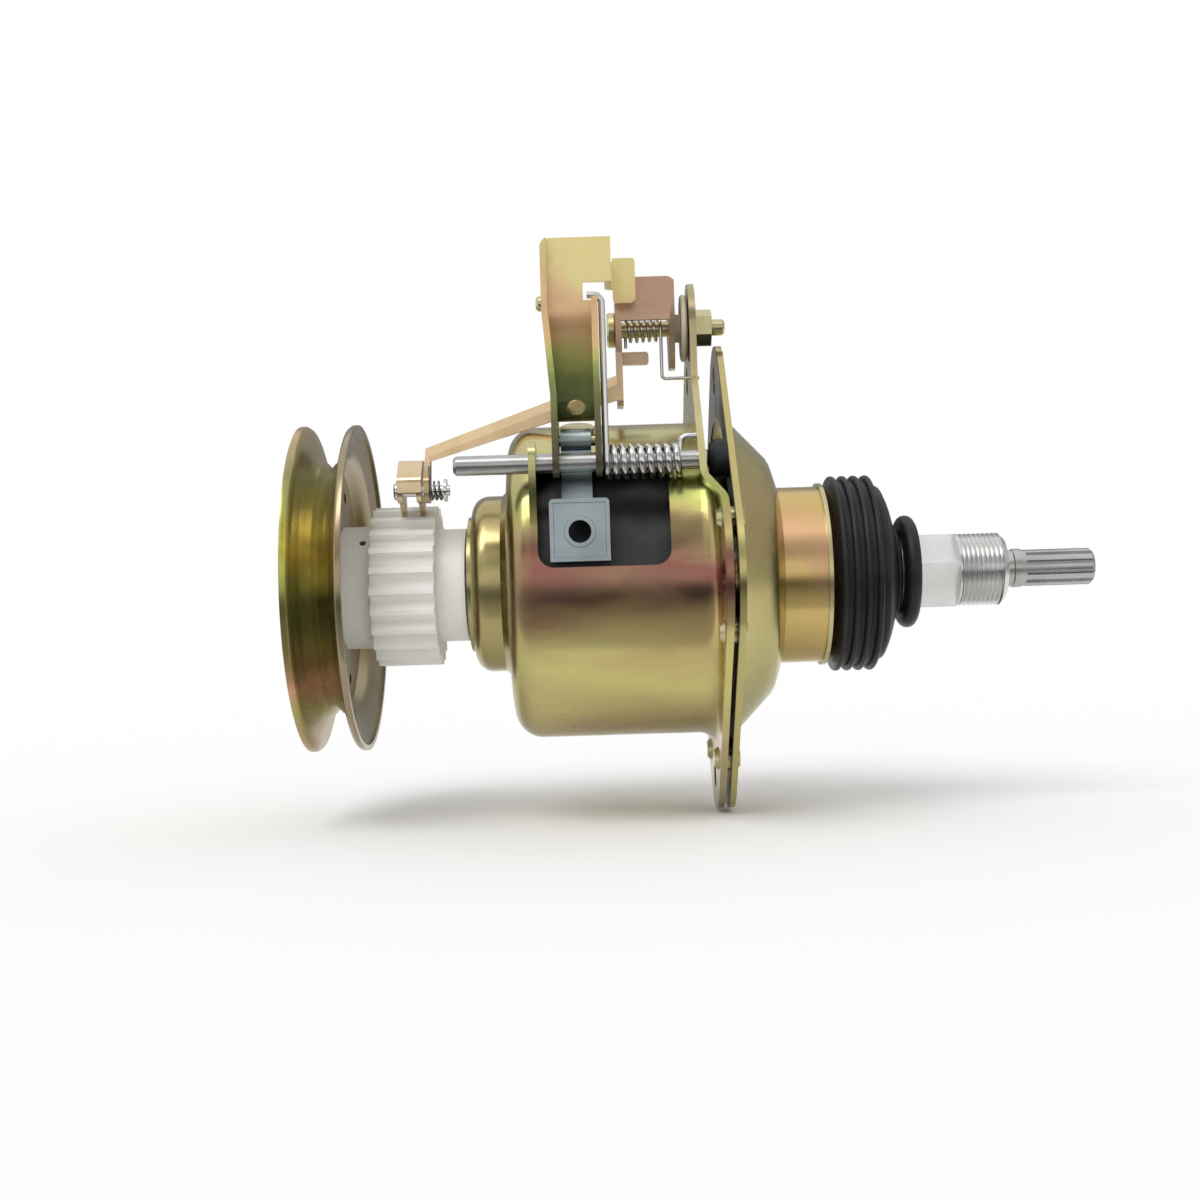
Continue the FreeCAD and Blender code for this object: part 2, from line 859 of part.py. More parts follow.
def make_flange_rivets():
    """Shouldered rivets that hold the two plates a gap apart."""
    shank, head = s.rivet_shank_radius, s.rivet_head_radius
    corners = [
        (cup_mouth - s.rivet_head_height, 0),
        (cup_mouth - s.rivet_head_height, head - 1),
        (cup_mouth, head),
        (cup_mouth, shank),
        (plate_left, shank),
        (plate_left, head),
        (-s.sheet, head),
        (-s.sheet, shank),
        (0, shank),
        (0, head),
        (s.rivet_head_height, head - 1),
        (s.rivet_head_height, 0),
    ]
    rivets = []
    for index, angle in enumerate(rivet_angles()):
        place = (s.rivet_circle_radius * cosine(angle), s.rivet_circle_radius * sine(angle))
        rivets.append(turned(f"rivet_{index}", corners, place))
    keep(grouped("rivet_group", *rivets), "flange_rivets")


# Bearings and seals


def ring(name, low, high, inner, outer):
    corners = [(low, inner), (high, inner), (high, outer), (low, outer)]
    return keep(turned(name, corners), name)


def shielded_race(name, low, high, outer):
    """An outer race with the two shields pressed into its sides."""
    inner = outer - s.race_thickness
    shield = s.journal_radius + s.race_thickness + s.shield_gap
    corners = [
        (low, shield),
        (low, outer, as_size(0.6)),
        (high, outer, as_size(0.6)),
        (high, shield),
        (high - s.shield_thickness, shield),
        (high - s.shield_thickness, inner),
        (low + s.shield_thickness, inner),
        (low + s.shield_thickness, shield),
    ]
    keep(turned(name, corners), name)


def make_bearings():
    seat = cap_inside - s.seat_clearance
    journal = s.journal_radius + s.seat_clearance
    inner_race = s.journal_radius + s.race_thickness
    one_way_low = cap_end + s.sheet
    one_way_high = one_way_low + s.one_way_width
    bearing_low = one_way_high + s.seat_clearance
    bearing_high = bearing_low + s.bearing_width
    ring("one_way_bearing", one_way_low, one_way_high,
         s.journal_radius + s.running_clearance, seat)
    shielded_race("lower_bearing_outer_race", bearing_low, bearing_high, seat)
    ring("lower_bearing_inner_race", bearing_low, bearing_high, journal, inner_race)
    upper_high = s.collar_end - s.sheet - s.oil_seal_width
    upper_low = upper_high - s.upper_bearing_width
    shielded_race("upper_bearing_outer_race", upper_low, upper_high, seat)
    ring("upper_bearing_inner_race", upper_low, upper_high, journal, inner_race)
    ring("shaft_oil_seal", upper_high, s.collar_end - s.sheet,
         s.journal_radius + s.running_clearance, seat)
    ring("seal_retainer", s.collar_end - s.collar_corner - s.retainer_width,
         s.collar_end - s.collar_corner, s.cap_radius + s.seat_clearance,
         s.cap_radius + s.retainer_height)


def seal_end():
    length = s.seal_rib_pitch * s.seal_rib_count + s.seal_shoulder_length
    return s.collar_end + length + s.seal_step_length + s.seal_cone_length + s.seal_neck_length


def make_tub_seal():
    """The ribbed rubber seal, whose neck rides on the spin shaft."""
    corners = [(s.collar_end, s.cap_radius - s.collar_corner)]
    groove = s.seal_radius - s.seal_groove_depth
    left = s.collar_end
    for index in range(int(s.seal_rib_count.value)):
        low = left + s.seal_rib_pitch * index
        high = low + s.seal_rib_pitch
        corners.append((low + 0.5, groove))
        corners.append((low + 0.8, s.seal_radius, as_size(0.7)))
        corners.append((high - 0.8, s.seal_radius, as_size(0.7)))
        corners.append((high - 0.5, groove))
    shoulder = left + s.seal_rib_pitch * s.seal_rib_count
    step = shoulder + s.seal_shoulder_length
    cone = step + s.seal_step_length
    neck = cone + s.seal_cone_length
    end = seal_end()
    lip = s.neck_radius + s.running_clearance
    corners += [
        (shoulder, s.seal_shoulder_radius),
        (step, s.seal_shoulder_radius, as_size(0.8)),
        (cone, s.seal_step_radius, as_size(1.2)),
        (neck, s.seal_cone_radius, as_size(0.8)),
        (neck, s.seal_neck_radius),
        (end, s.seal_neck_radius, as_size(0.5)),
        (end, lip),
        (neck - 1.5, lip),
        (step, s.seal_shoulder_radius - 5),
        (s.collar_end, s.seal_shoulder_radius - 5),
    ]
    keep(turned("tub_seal", corners), "tub_seal")
    low = end + s.side_clearance
    high = low + s.shaft_ring_length
    bore = s.neck_radius + s.seat_clearance
    ring_corners = [
        (low, bore),
        (low, s.shaft_ring_radius, s.shaft_ring_round),
        (high, s.shaft_ring_radius, s.shaft_ring_round),
        (high, bore),
    ]
    keep(turned("shaft_ring", ring_corners), "shaft_ring")


# Drum and its shafts

gear_right = s.gear_left + s.gear_width
sun_pitch = s.gear_module * s.sun_teeth / 2
planet_pitch = s.gear_module * s.planet_teeth / 2
planet_circle = sun_pitch + planet_pitch
ring_pitch = planet_circle + planet_pitch
ring_teeth = s.sun_teeth + 2 * s.planet_teeth
drum_left = cup_end + s.sheet + 4


def make_drum():
    path = [
        (s.drum_right, s.drum_radius),
        (drum_left, s.drum_radius, s.drum_corner),
        (drum_left, s.journal_radius + s.seat_clearance),
    ]
    keep(turned("brake_drum", sheet_loop(path, s.sheet, 1)), "brake_drum")
    cover_right = s.drum_right + s.drum_cover_thickness
    ring("drum_cover", s.drum_right + s.seat_clearance, cover_right,
         s.journal_radius + s.seat_clearance, s.drum_radius)
    flange = drum_left + s.sheet + s.seat_clearance
    flange_end = flange + s.shaft_flange_thickness
    one_way_low = cap_end + s.sheet
    corners = [
        (s.clutch_joint + s.side_clearance, s.shaft_bore_radius),
        (s.clutch_joint + s.side_clearance, s.clutch_radius),
        (one_way_low, s.clutch_radius),
        (one_way_low, s.journal_radius),
        (flange, s.journal_radius),
        (flange, s.shaft_flange_radius),
        (flange_end, s.shaft_flange_radius),
        (flange_end, s.shaft_bore_radius),
    ]
    keep(turned("lower_spin_shaft", corners), "lower_spin_shaft")


def make_spin_shaft():
    flange = s.drum_right + s.drum_cover_thickness + s.seat_clearance
    corners = [
        (s.drum_right, s.shaft_bore_radius),
        (s.drum_right, s.journal_radius),
        (flange, s.journal_radius),
        (flange, s.shaft_flange_radius),
        (flange + s.shaft_flange_thickness, s.shaft_flange_radius),
        (flange + s.shaft_flange_thickness, s.journal_radius),
        (s.journal_end, s.journal_radius),
        (s.journal_end, s.neck_radius),
        (s.square_end, s.neck_radius),
        (s.square_end, s.thread_radius),
        (s.thread_end, s.thread_radius, s.thread_nose),
        (s.thread_end, s.shaft_bore_radius),
    ]
    blank = turned("spin_shaft_blank", corners)
    sleeve = rod("square_sleeve", s.neck_radius + 1, s.square_start, s.square_end)
    square = prism("square_shank", "YZ_Plane",
                   polygon_corners(4, s.square_flats, s.square_turn), s.square_start - 1,
                   s.square_end + 1)
    flats = cut("square_waste", sleeve, square)
    keep(cut("spin_shaft_cut", blank, flats), "spin_shaft")


def make_bushes():
    outer = s.shaft_bore_radius - s.seat_clearance
    lower_inner = s.input_radius + s.running_clearance
    upper_inner = s.pulsator_radius + s.running_clearance
    lower_starts = (s.clutch_joint + s.side_clearance, drum_left - s.bush_length)
    upper_starts = (s.drum_right, s.thread_end - s.bush_length - s.thread_nose)
    for name, starts, inner in (
        ("lower_bushes", lower_starts, lower_inner),
        ("upper_bushes", upper_starts, upper_inner),
    ):
        bushes = []
        for index, low in enumerate(starts):
            high = low + s.bush_length
            corners = [(low, inner), (high, inner), (high, outer), (low, outer)]
            bushes.append(turned(f"{name}_{index}", corners))
        keep(grouped(f"{name}_group", *bushes), name)


def band_arc(name, inner, outer):
    """A strap bent round the drum."""
    low, high = s.band_left, s.band_left + s.band_width
    corners = [(low, inner), (high, inner), (high, outer), (low, outer)]
    body = turned(name, corners, angle=s.band_wrap_angle)
    turn = FreeCAD.Rotation(Vector(1, 0, 0), s.band_start_angle.value)
    body.Placement = FreeCAD.Placement(Vector(), turn)
    bind(body, "Placement.Rotation.Angle", s.band_start_angle)
    return body


def make_band():
    lining_inner = s.drum_radius + s.band_gap
    lining_outer = lining_inner + s.lining_thickness
    band_inner = lining_outer + s.seat_clearance
    band_outer = band_inner + s.band_thickness
    keep(band_arc("brake_lining", lining_inner, lining_outer), "brake_lining")
    keep(band_arc("brake_band", band_inner, band_outer), "brake_band")
    shank = anchor_rod("anchor_shank", s.anchor_radius, band_outer + s.seat_clearance,
                       s.cup_radius - band_outer)
    head = anchor_rod("anchor_head", s.anchor_head_radius, s.cup_radius + s.seat_clearance,
                      s.anchor_head_height)
    keep(joined("anchor_whole", shank, head), "band_anchor")


# Planet gear


def tooth_corners(tip, foot, tip_half, foot_half):
    """One tooth or gap, standing on the Y axis."""
    return [(foot, -foot_half), (tip, -tip_half), (tip, tip_half), (foot, foot_half)]


def patterned(name, body, feature, count):
    pattern = body.newObject("PartDesign::PolarPattern", f"{name}_around")
    pattern.Originals = [feature]
    axis = [part for part in body.Origin.OriginFeatures if part.Role == "X_Axis"]
    pattern.Axis = (axis[0], [""])
    pattern.Angle = 360
    pattern.Occurrences = int(count.value)
    bind(pattern, "Occurrences", count)
    body.Tip = pattern
    return pattern


def padded(body, sketch, length, name):
    pad = body.newObject("PartDesign::Pad", name)
    pad.Profile = sketch
    bind(pad, "Length", length)
    sketch.Visibility = False
    return pad


def turned_about_x(body, angle):
    """Turns a body about the X axis by an angle that follows the sheet."""
    body.Placement = FreeCAD.Placement(Vector(), FreeCAD.Rotation(Vector(1, 0, 0), angle.value))
    bind(body, "Placement.Rotation.Angle", angle)


def spur_gear(name, teeth, pitch, bore, centre=None, turn=None):
    """A spur gear with straight flanks, thinned for running clearance."""
    body = doc.addObject("PartDesign::Body", name)
    disc = body_sketch(body, "YZ_Plane", f"{name}_disc", s.gear_left)
    foot = pitch - s.gear_module * s.tooth_depth
    draw_circle(disc, foot)
    draw_circle(disc, bore)
    padded(body, disc, s.gear_width, f"{name}_blank")
    tooth = body_sketch(body, "YZ_Plane", f"{name}_tooth", s.gear_left)
    half = s.gear_module * s.tooth_share * math.pi / 2
    tip_half = s.gear_module * s.tooth_tip_share * math.pi / 2
    tip = pitch + s.gear_module * s.tooth_height
    slope = (half - tip_half) / (s.gear_module * s.tooth_height)
    foot_half = half + slope * (s.gear_module * s.tooth_depth)
    deeper = foot - 0.5
    draw_outline(tooth, tooth_corners(tip, deeper, tip_half, foot_half))
    feature = padded(body, tooth, s.gear_width, f"{name}_one_tooth")
    patterned(name, body, feature, teeth)
    if turn is not None:
        turned_about_x(body, turn)
    if centre is not None:
        bind(body, "Placement.Base.y", centre[0])
        bind(body, "Placement.Base.z", centre[1])
    return body


def make_gears():
    keep(spur_gear("sun_gear", s.sun_teeth, sun_pitch, s.input_radius + s.seat_clearance),
         "sun_gear")
    pins = []
    pin_low = s.gear_left - s.side_clearance - s.carrier_thickness
    pin_high = gear_right + s.side_clearance + s.carrier_thickness
    for index in range(int(s.planet_count.value)):
        angle = as_size(360 * index) / s.planet_count
        place = (planet_circle * cosine(angle), planet_circle * sine(angle))
        bore = s.planet_pin_radius + s.running_clearance
        name = f"planet_gear_{index + 1}"
        turn = angle + 180 + 180 / s.planet_teeth
        gear = spur_gear(name, s.planet_teeth, planet_pitch, bore, place, turn)
        keep(gear, name)
        pins.append(rod(f"planet_pin_{index}", s.planet_pin_radius, pin_low, pin_high, place))
    keep(grouped("planet_pin_group", *pins), "planet_pins")
    make_ring_gear()
    make_carrier(pin_low, pin_high)


def make_ring_gear():
    body = doc.addObject("PartDesign::Body", "ring_gear")
    disc = body_sketch(body, "YZ_Plane", "ring_gear_disc", s.gear_left)
    tip = ring_pitch - s.gear_module * s.tooth_height
    foot = ring_pitch + s.gear_module * s.tooth_depth
    draw_circle(disc, s.drum_radius - s.sheet - s.seat_clearance)
    draw_circle(disc, tip)
    padded(body, disc, s.gear_width, "ring_gear_blank")
    gap = body_sketch(body, "YZ_Plane", "ring_gear_gap", s.gear_left)
    pitch_half = s.gear_module * (1 - s.tooth_share) * math.pi / 2
    slope = s.gear_module * (s.tooth_share - s.tooth_tip_share) * math.pi / 2
    slope = slope / (s.gear_module * s.tooth_height)
    tip_half = pitch_half + slope * (s.gear_module * s.tooth_height + 0.4)
    foot_half = pitch_half - slope * (s.gear_module * s.tooth_depth)
    draw_outline(gap, tooth_corners(foot, tip - 0.4, foot_half, tip_half))
    pocket = body.newObject("PartDesign::Pocket", "ring_gear_one_gap")
    pocket.Profile = gap
    pocket.Type = "ThroughAll"
    pocket.Midplane = True
    patterned("ring_gear", body, pocket, ring_teeth)
    turned_about_x(body, 180 / ring_teeth)
    keep(body, "ring_gear")


def make_carrier(low, high):
    hole = s.planet_pin_radius + s.seat_clearance
    angles = [as_size(360 * index) / s.planet_count
              for index in range(int(s.planet_count.value))]
    left_plate = turned("carrier_disc", [
        (low, s.carrier_bore_radius),
        (low + s.carrier_thickness, s.carrier_bore_radius),
        (low + s.carrier_thickness, s.carrier_radius),
        (low, s.carrier_radius),
    ])
    tools = plate_holes("carrier_hole", hole, planet_circle, angles, low - 1,
                        low + s.carrier_thickness + 1)
    keep(cut("carrier_cut", left_plate, *tools), "planet_carrier")
    ring_radius = s.pulsator_radius + 0.35
    shaft = turned("pulsator_blank", [
        (high - s.carrier_thickness, 0),
        (high - s.carrier_thickness, s.carrier_radius),
        (high, s.carrier_radius),
        (high, s.pulsator_radius),
        (s.pulsator_ring_start - 0.3, s.pulsator_radius),
        (s.pulsator_ring_start, ring_radius),
        (s.spline_start - 1.2, ring_radius),
        (s.spline_start - 0.6, s.pulsator_radius),
        (s.pulsator_end - s.pulsator_chamfer, s.pulsator_radius),
        (s.pulsator_end, s.pulsator_radius - s.pulsator_chamfer),
        (s.pulsator_end, 0),
    ])
    grooves = doc.addObject("PartDesign::Body", "spline_grooves")
    groove = body_sketch(grooves, "YZ_Plane", "spline_groove", s.spline_start)
    root_radius = s.pulsator_radius - s.spline_depth
    half = s.spline_gap / 2
    draw_outline(groove, tooth_corners(s.pulsator_radius + 1, root_radius, half * 1.6,
                                       half * 0.5))
    feature = padded(grooves, groove, s.pulsator_end - s.spline_start + 2, "spline_one_groove")
    patterned("spline", grooves, feature, s.spline_teeth)
    tools = plate_holes("flange_hole", hole, planet_circle, angles,
                        high - s.carrier_thickness - 1, high + 1)
    keep(cut("pulsator_cut", shaft, grooves, *tools), "pulsator_shaft")


# Pulley and input shaft


def pulley_half(name, side):
    """One pressed half of the V pulley; side is -1 for the outer one."""
    centre = s.pulley_centre
    floor = centre + side * s.groove_floor_half
    rim = floor + side * s.flange_spread
    path = [
        (centre, s.hub_radius + s.seat_clearance),
        (centre, s.groove_floor_radius, as_size(1.8)),
        (floor, s.groove_floor_radius, as_size(2.0)),
        (rim, s.pulley_radius, as_size(0.9)),
        (rim + side * s.rim_lip, s.pulley_radius),
    ]
    wheel = turned(f"{name}_blank", sheet_loop(path, s.thin_sheet, -side))
    angles = []
    for index in range(int(s.web_hole_count.value)):
        angles.append(as_size(360 * (index + 0.5)) / s.web_hole_count + 90)
    tools = plate_holes(f"{name}_hole", s.web_hole_radius, s.web_hole_circle, angles,
                        centre - 3, centre + 3)
    keep(cut(f"{name}_cut", wheel, *tools), name)


def make_input():
    pulley_half("pulley_outer_half", -1)
    pulley_half("pulley_inner_half", 1)
    shoulder = s.pulley_centre + s.thin_sheet
    clamp = s.pulley_centre - s.thin_sheet
    bore = s.input_radius + s.seat_clearance
    keep(turned("clutch_sleeve", [
        (clamp + 0.2, bore),
        (clamp + 0.2, s.hub_radius),
        (shoulder, s.hub_radius),
        (shoulder, s.clutch_radius),
        (s.clutch_joint, s.clutch_radius),
        (s.clutch_joint, bore),
    ]), "clutch_sleeve")
    keep(turned("input_shaft", [
        (s.input_left, 0),
        (s.input_left, s.input_radius - 0.8),
        (s.input_left + 0.8, s.input_radius),
        (gear_right, s.input_radius),
        (gear_right, 0),
    ]), "input_shaft")
    ring("lock_washer", clamp - s.washer_thickness, clamp, bore, s.washer_radius)
    nut_high = clamp - s.washer_thickness
    nut = prism("nut_blank", "YZ_Plane", polygon_corners(6, s.nut_flats),
                nut_high - s.nut_height, nut_high)
    hole = rod("nut_hole", bore, nut_high - s.nut_height - 1, nut_high + 1)
    keep(cut("nut_cut", nut, hole), "pulley_nut")
    wrap = s.clutch_radius + s.seat_clearance
    wire = s.clutch_wire
    ring("clutch_spring", s.clutch_joint - 14, s.clutch_joint + 14, wrap, wrap + wire)


def make_ratchet_wheel():
    """The nylon wheel: hub, saw teeth and a smooth sleeve that runs into the cap."""
    left = s.pulley_centre + s.thin_sheet + s.side_clearance
    right = s.ratchet_right
    run = s.clutch_radius + s.running_clearance
    blank = turned("ratchet_blank", [
        (left, run),
        (left, s.ratchet_hub_radius, as_size(1.0)),
        (s.ratchet_hub_end, s.ratchet_hub_radius),
        (s.ratchet_hub_end, s.ratchet_root_radius),
        (s.ratchet_teeth_end, s.ratchet_root_radius),
        (s.ratchet_teeth_end, s.ratchet_sleeve_radius),
        (right, s.ratchet_sleeve_radius),
        (right, run),
        (right - s.ratchet_collar, run),
        (right - s.ratchet_collar, s.ratchet_bore_radius),
        (left + s.ratchet_collar, s.ratchet_bore_radius),
        (left + s.ratchet_collar, run),
    ])
    teeth = doc.addObject("PartDesign::Body", "ratchet_teeth_body")
    tooth = body_sketch(teeth, "YZ_Plane", "ratchet_tooth", s.ratchet_hub_end)
    foot = s.ratchet_root_radius - 0.6
    tip = s.ratchet_tip_radius
    land, base = s.ratchet_tooth_land, s.ratchet_tooth_foot
    draw_outline(tooth, [
        (foot, 0),
        (tip, 0),
        (tip * cosine(land), -tip * sine(land)),
        (foot * cosine(base + 1.5), -foot * sine(base + 1.5)),
    ])
    width = s.ratchet_teeth_end - s.ratchet_hub_end
    feature = padded(teeth, tooth, width, "ratchet_one_tooth")
    patterned("ratchet", teeth, feature, s.ratchet_teeth)
    turned_about_x(teeth, s.ratchet_phase)
    keep(joined("ratchet_whole", blank, teeth), "ratchet_wheel")


# Brake lever


def lever_face(inset, top, left_wall=True):
    """The lever seen from the front; inset leaves its side walls."""
    left, low = s.lever_left + inset, s.lever_left_low + inset
    return [
        (left, top, as_size(3.0)),
        (left, s.lever_rivet_z - 2),
        (low, s.lever_web_heel_z),
        (low, 20),
        (s.lever_right - inset, 20),
        (s.lever_right - inset, s.notch_bottom),
        (s.lever_right_top + inset / 2, s.notch_top),
        (s.lever_right_top + inset / 2, top),
    ]


def make_brake_lever():
    wall = s.lever_sheet
    web_back = s.lever_web_front + wall
    side = [
        (s.lever_front + 1.6, s.lever_top),
        (s.lever_front - 0.6, 62),
        (s.lever_front + 1.0, s.pivot_z - 6.2, as_size(4.5)),
        (s.pivot_y + 4.8, s.pivot_z - 1.5, as_size(4.0)),
        (s.eye_y + 4.4, s.eye_z + 1.4, as_size(3.0)),
        (s.lever_web_end_y + 1.4, s.lever_web_end_z + 1.2),
        (s.lever_web_heel_y + 1.5, s.lever_web_heel_z + 1.0, as_size(8.0)),
        (web_back, s.lever_web_knee_z + 1, as_size(20.0)),
        (web_back, s.lever_top),
    ]
    inside = [
        (-62, s.lever_top + 2),
        (s.lever_web_front, s.lever_top + 2),
        (s.lever_web_front, s.lever_web_knee_z, as_size(20.0)),
        (s.lever_web_heel_y, s.lever_web_heel_z, as_size(8.0)),
        (s.lever_web_end_y, s.lever_web_end_z),
        (-20, s.lever_web_end_z - 4),
        (-20, 18),
        (-62, 18),
    ]
    face = prism("lever_face", "XZ_Plane", lever_face(as_size(0), s.lever_top), -62, -20)
    flank = prism("lever_flank", "YZ_Plane", side, -62, -30)
    blank = shared("lever_blank", face, flank)
    hollow_face = prism("lever_hollow_face", "XZ_Plane", lever_face(wall, s.lever_top + 3),
                        -62, -20)
    hollow_side = prism("lever_hollow_side", "YZ_Plane", inside, -62, -30)
    hollow = shared("lever_hollow", hollow_face, hollow_side)
    notch = prism("lever_notch", "XZ_Plane", [
        (s.notch_left, s.notch_bottom),
        (s.lever_right_top + 1, s.notch_bottom),
        (s.lever_right_top + 1, s.notch_top),
        (s.notch_left, s.notch_top),
    ], -62, -20)
    hole = doc.addObject("Part::Cylinder", "lever_web_hole")
    hole.Placement = FreeCAD.Placement(Vector(), FreeCAD.Rotation(Vector(1, 0, 0), -42))
    bind(hole, "Radius", s.web_hole)
    hole.Height = 8
    bind(hole, "Placement.Base.x", (s.lever_left_low + s.lever_right) / 2)
    bind(hole, "Placement.Base.y", s.lever_web_heel_y - 1)
    bind(hole, "Placement.Base.z", s.lever_web_heel_z - 5)
    pivot = rod("lever_pivot_hole", s.pivot_radius + s.running_clearance, -62, -30,
                (s.pivot_y, s.pivot_z))
    eye = rod("lever_eye_hole", s.eye_pin_radius + s.seat_clearance, -62, -30,
              (s.eye_y, s.eye_z))
    rivet = rod("lever_rivet_hole", s.lever_rivet_radius / 2 + s.seat_clearance, -62, -50,
                (s.lever_rivet_y, s.lever_rivet_z))
    channel = cut("lever_channel", blank, hollow, notch)
    tab_path = [
        (s.lever_right_top - wall - 1, s.lever_web_front + 0.01),
        (s.lever_right_top, s.lever_web_front + 0.01, as_size(2.4)),
        (s.lever_right_top, s.tab_front, as_size(0.6)),
        (s.tab_right, s.tab_front),
    ]
    strap = prism("lever_strap", "XY_Plane", sheet_loop(tab_path, wall, 1),
                  s.notch_top + 1.5, s.lever_top - 3)
    tab = prism("lever_tab", "XZ_Plane", [
        (s.lever_right_top + 0.6, s.tab_bottom, as_size(1.6)),
        (s.tab_right, s.tab_bottom, as_size(1.6)),
        (s.tab_right, s.tab_top, as_size(1.0)),
        (s.lever_right_top + 0.6, s.tab_top),
    ], s.tab_front, s.tab_front + wall)
    cutter = prism("lever_tab_trim", "XZ_Plane", [
        (s.lever_right_top + 0.6, s.tab_top),
        (s.tab_right + 1, s.tab_top),
        (s.tab_right + 1, s.lever_top + 1),
        (s.lever_right_top + 0.6, s.lever_top + 1),
    ], s.tab_front - 2, s.tab_front + 4)
    whole = joined("lever_whole", channel, cut("lever_strap_cut", strap, cutter), tab)
    keep(cut("brake_lever_cut", whole, hole, pivot, eye, rivet), "brake_lever")
    make_lever_pins()


def make_lever_pins():
    chamfer, radius = s.pivot_chamfer, s.pivot_radius
    keep(turned("lever_pivot_pin", [
        (s.pivot_left, 0),
        (s.pivot_left, radius - chamfer),
        (s.pivot_left + chamfer, radius),
        (s.pivot_right - chamfer, radius),
        (s.pivot_right, radius - chamfer),
        (s.pivot_right, 0),
    ], (s.pivot_y, s.pivot_z)), "lever_pivot_pin")
    low = s.pivot_right
    keep(turned("pivot_bumper", [
        (low, 0),
        (low, s.bumper_radius, as_size(1.2)),
        (-s.sheet, s.bumper_radius),
        (-s.sheet, 0),
    ], (s.pivot_y, s.pivot_z)), "pivot_bumper")
    keep(rod("clevis_pin_rod", s.eye_pin_radius, s.lever_left_low, s.lever_right,
             (s.eye_y, s.eye_z)), "clevis_pin")
    head = s.lever_rivet_radius
    keep(turned("lever_rivet", [
        (s.lever_left - s.lever_rivet_height, 0),
        (s.lever_left - s.lever_rivet_height, head, as_size(0.7)),
        (s.lever_left, head),
        (s.lever_left, head / 2),
        (s.lever_left + s.lever_sheet, head / 2),
        (s.lever_left + s.lever_sheet, 0),
    ], (s.lever_rivet_y, s.lever_rivet_z)), "lever_rivet")


def make_band_clevis():
    """The folded end fitting of the brake band, hung on the lever by a rolled eye."""
    wall = s.thin_sheet
    front, back = s.clevis_front, s.clevis_front + s.clevis_depth
    box = prism("clevis_box", "XZ_Plane", [
        (s.clevis_left, s.clevis_bottom),
        (s.clevis_right, s.clevis_bottom),
        (s.clevis_right, s.clevis_shoulder, as_size(1.2)),
        (s.clevis_left, s.clevis_shoulder, as_size(1.2)),
    ], front, back)
    pocket = prism("clevis_pocket", "XZ_Plane", [
        (s.clevis_left + wall, s.clevis_bottom + wall),
        (s.clevis_right - wall, s.clevis_bottom + wall),
        (s.clevis_right - wall, s.clevis_shoulder + 2),
        (s.clevis_left + wall, s.clevis_shoulder + 2),
    ], front + wall, back + 1)
    neck_path = [
        (front, s.clevis_neck_foot_z - 2),
        (front, s.clevis_neck_foot_z, as_size(2.0)),
        (s.clevis_neck_back_y, s.pivot_z - 1.5, as_size(2.0)),
        (s.clevis_neck_back_y, s.eye_z),
    ]
    neck = prism("clevis_neck", "YZ_Plane", sheet_loop(neck_path, wall, -1),
                 s.clevis_neck_left, s.clevis_neck_right)
    eye = rod("clevis_eye", s.eye_radius, s.clevis_neck_left, s.clevis_neck_right,
              (s.eye_y, s.eye_z))
    hole = doc.addObject("Part::Cylinder", "clevis_hole")
    hole.Placement = FreeCAD.Placement(Vector(), FreeCAD.Rotation(Vector(1, 0, 0), -90))
    bind(hole, "Radius", s.clevis_hole_radius)
    hole.Height = 6
    bind(hole, "Placement.Base.x", (s.clevis_left + s.clevis_right) / 2)
    bind(hole, "Placement.Base.y", front - 2)
    bind(hole, "Placement.Base.z", s.clevis_hole_z)
    eye_hole = rod("clevis_eye_hole", s.eye_pin_radius + s.running_clearance, -62, -30,
                   (s.eye_y, s.eye_z))
    whole = joined("clevis_whole", cut("clevis_folded", box, pocket), neck, eye)
    keep(cut("clevis_cut", whole, hole, eye_hole), "band_clevis")


# Release fork


def make_fork_bolt():
    radius, head = s.bolt_radius, s.bolt_head_radius
    head_right = s.fork_left - s.seat_clearance * 5
    place = (s.bolt_y, s.bolt_z)
    keep(turned("fork_bolt", [
        (head_right - s.bolt_head_height, 0),
        (head_right - s.bolt_head_height, head, as_size(0.5)),
        (head_right, head, as_size(0.3)),
        (head_right, radius),
        (s.bolt_right - 0.6, radius),
        (s.bolt_right, radius - 0.6),
        (s.bolt_right, 0),
    ], place), "fork_bolt")
    low = s.fork_right + s.seat_clearance * 5
    flange_low = ear_left - s.bush_flange_thickness - s.side_clearance
    keep(turned("fork_bush", [
        (low, radius + s.seat_clearance),
        (low, s.bush_radius),
        (flange_low, s.bush_radius),
        (flange_low, s.bush_flange_radius, as_size(0.5)),
        (flange_low + s.bush_flange_thickness, s.bush_flange_radius, as_size(0.5)),
        (flange_low + s.bush_flange_thickness, s.bush_radius),
        (ear_left, s.bush_radius),
        (ear_left, radius + s.seat_clearance),
    ], place), "fork_bush")
    nut = prism("fork_nut_blank", "YZ_Plane",
                [(y + s.bolt_y, z + s.bolt_z) for y, z in polygon_corners(6, s.fork_nut_flats)],
                ear_right, ear_right + s.fork_nut_height)
    hole = rod("fork_nut_hole", radius + s.seat_clearance, -40, PAST, place)
    keep(cut("fork_nut_cut", nut, hole), "fork_nut")


def fork_wall(name, low, bottom_corners):
    top = [
        (s.fork_front, s.fork_web_bottom - 1.5),
        (s.fork_front, s.fork_top, as_size(2.2)),
        (s.bolt_y + 4, s.fork_top - 3, as_size(4.0)),
        (s.fork_back, s.bolt_z, as_size(4.0)),
    ]
    return prism(name, "YZ_Plane", top + bottom_corners, low, low + s.lever_sheet)


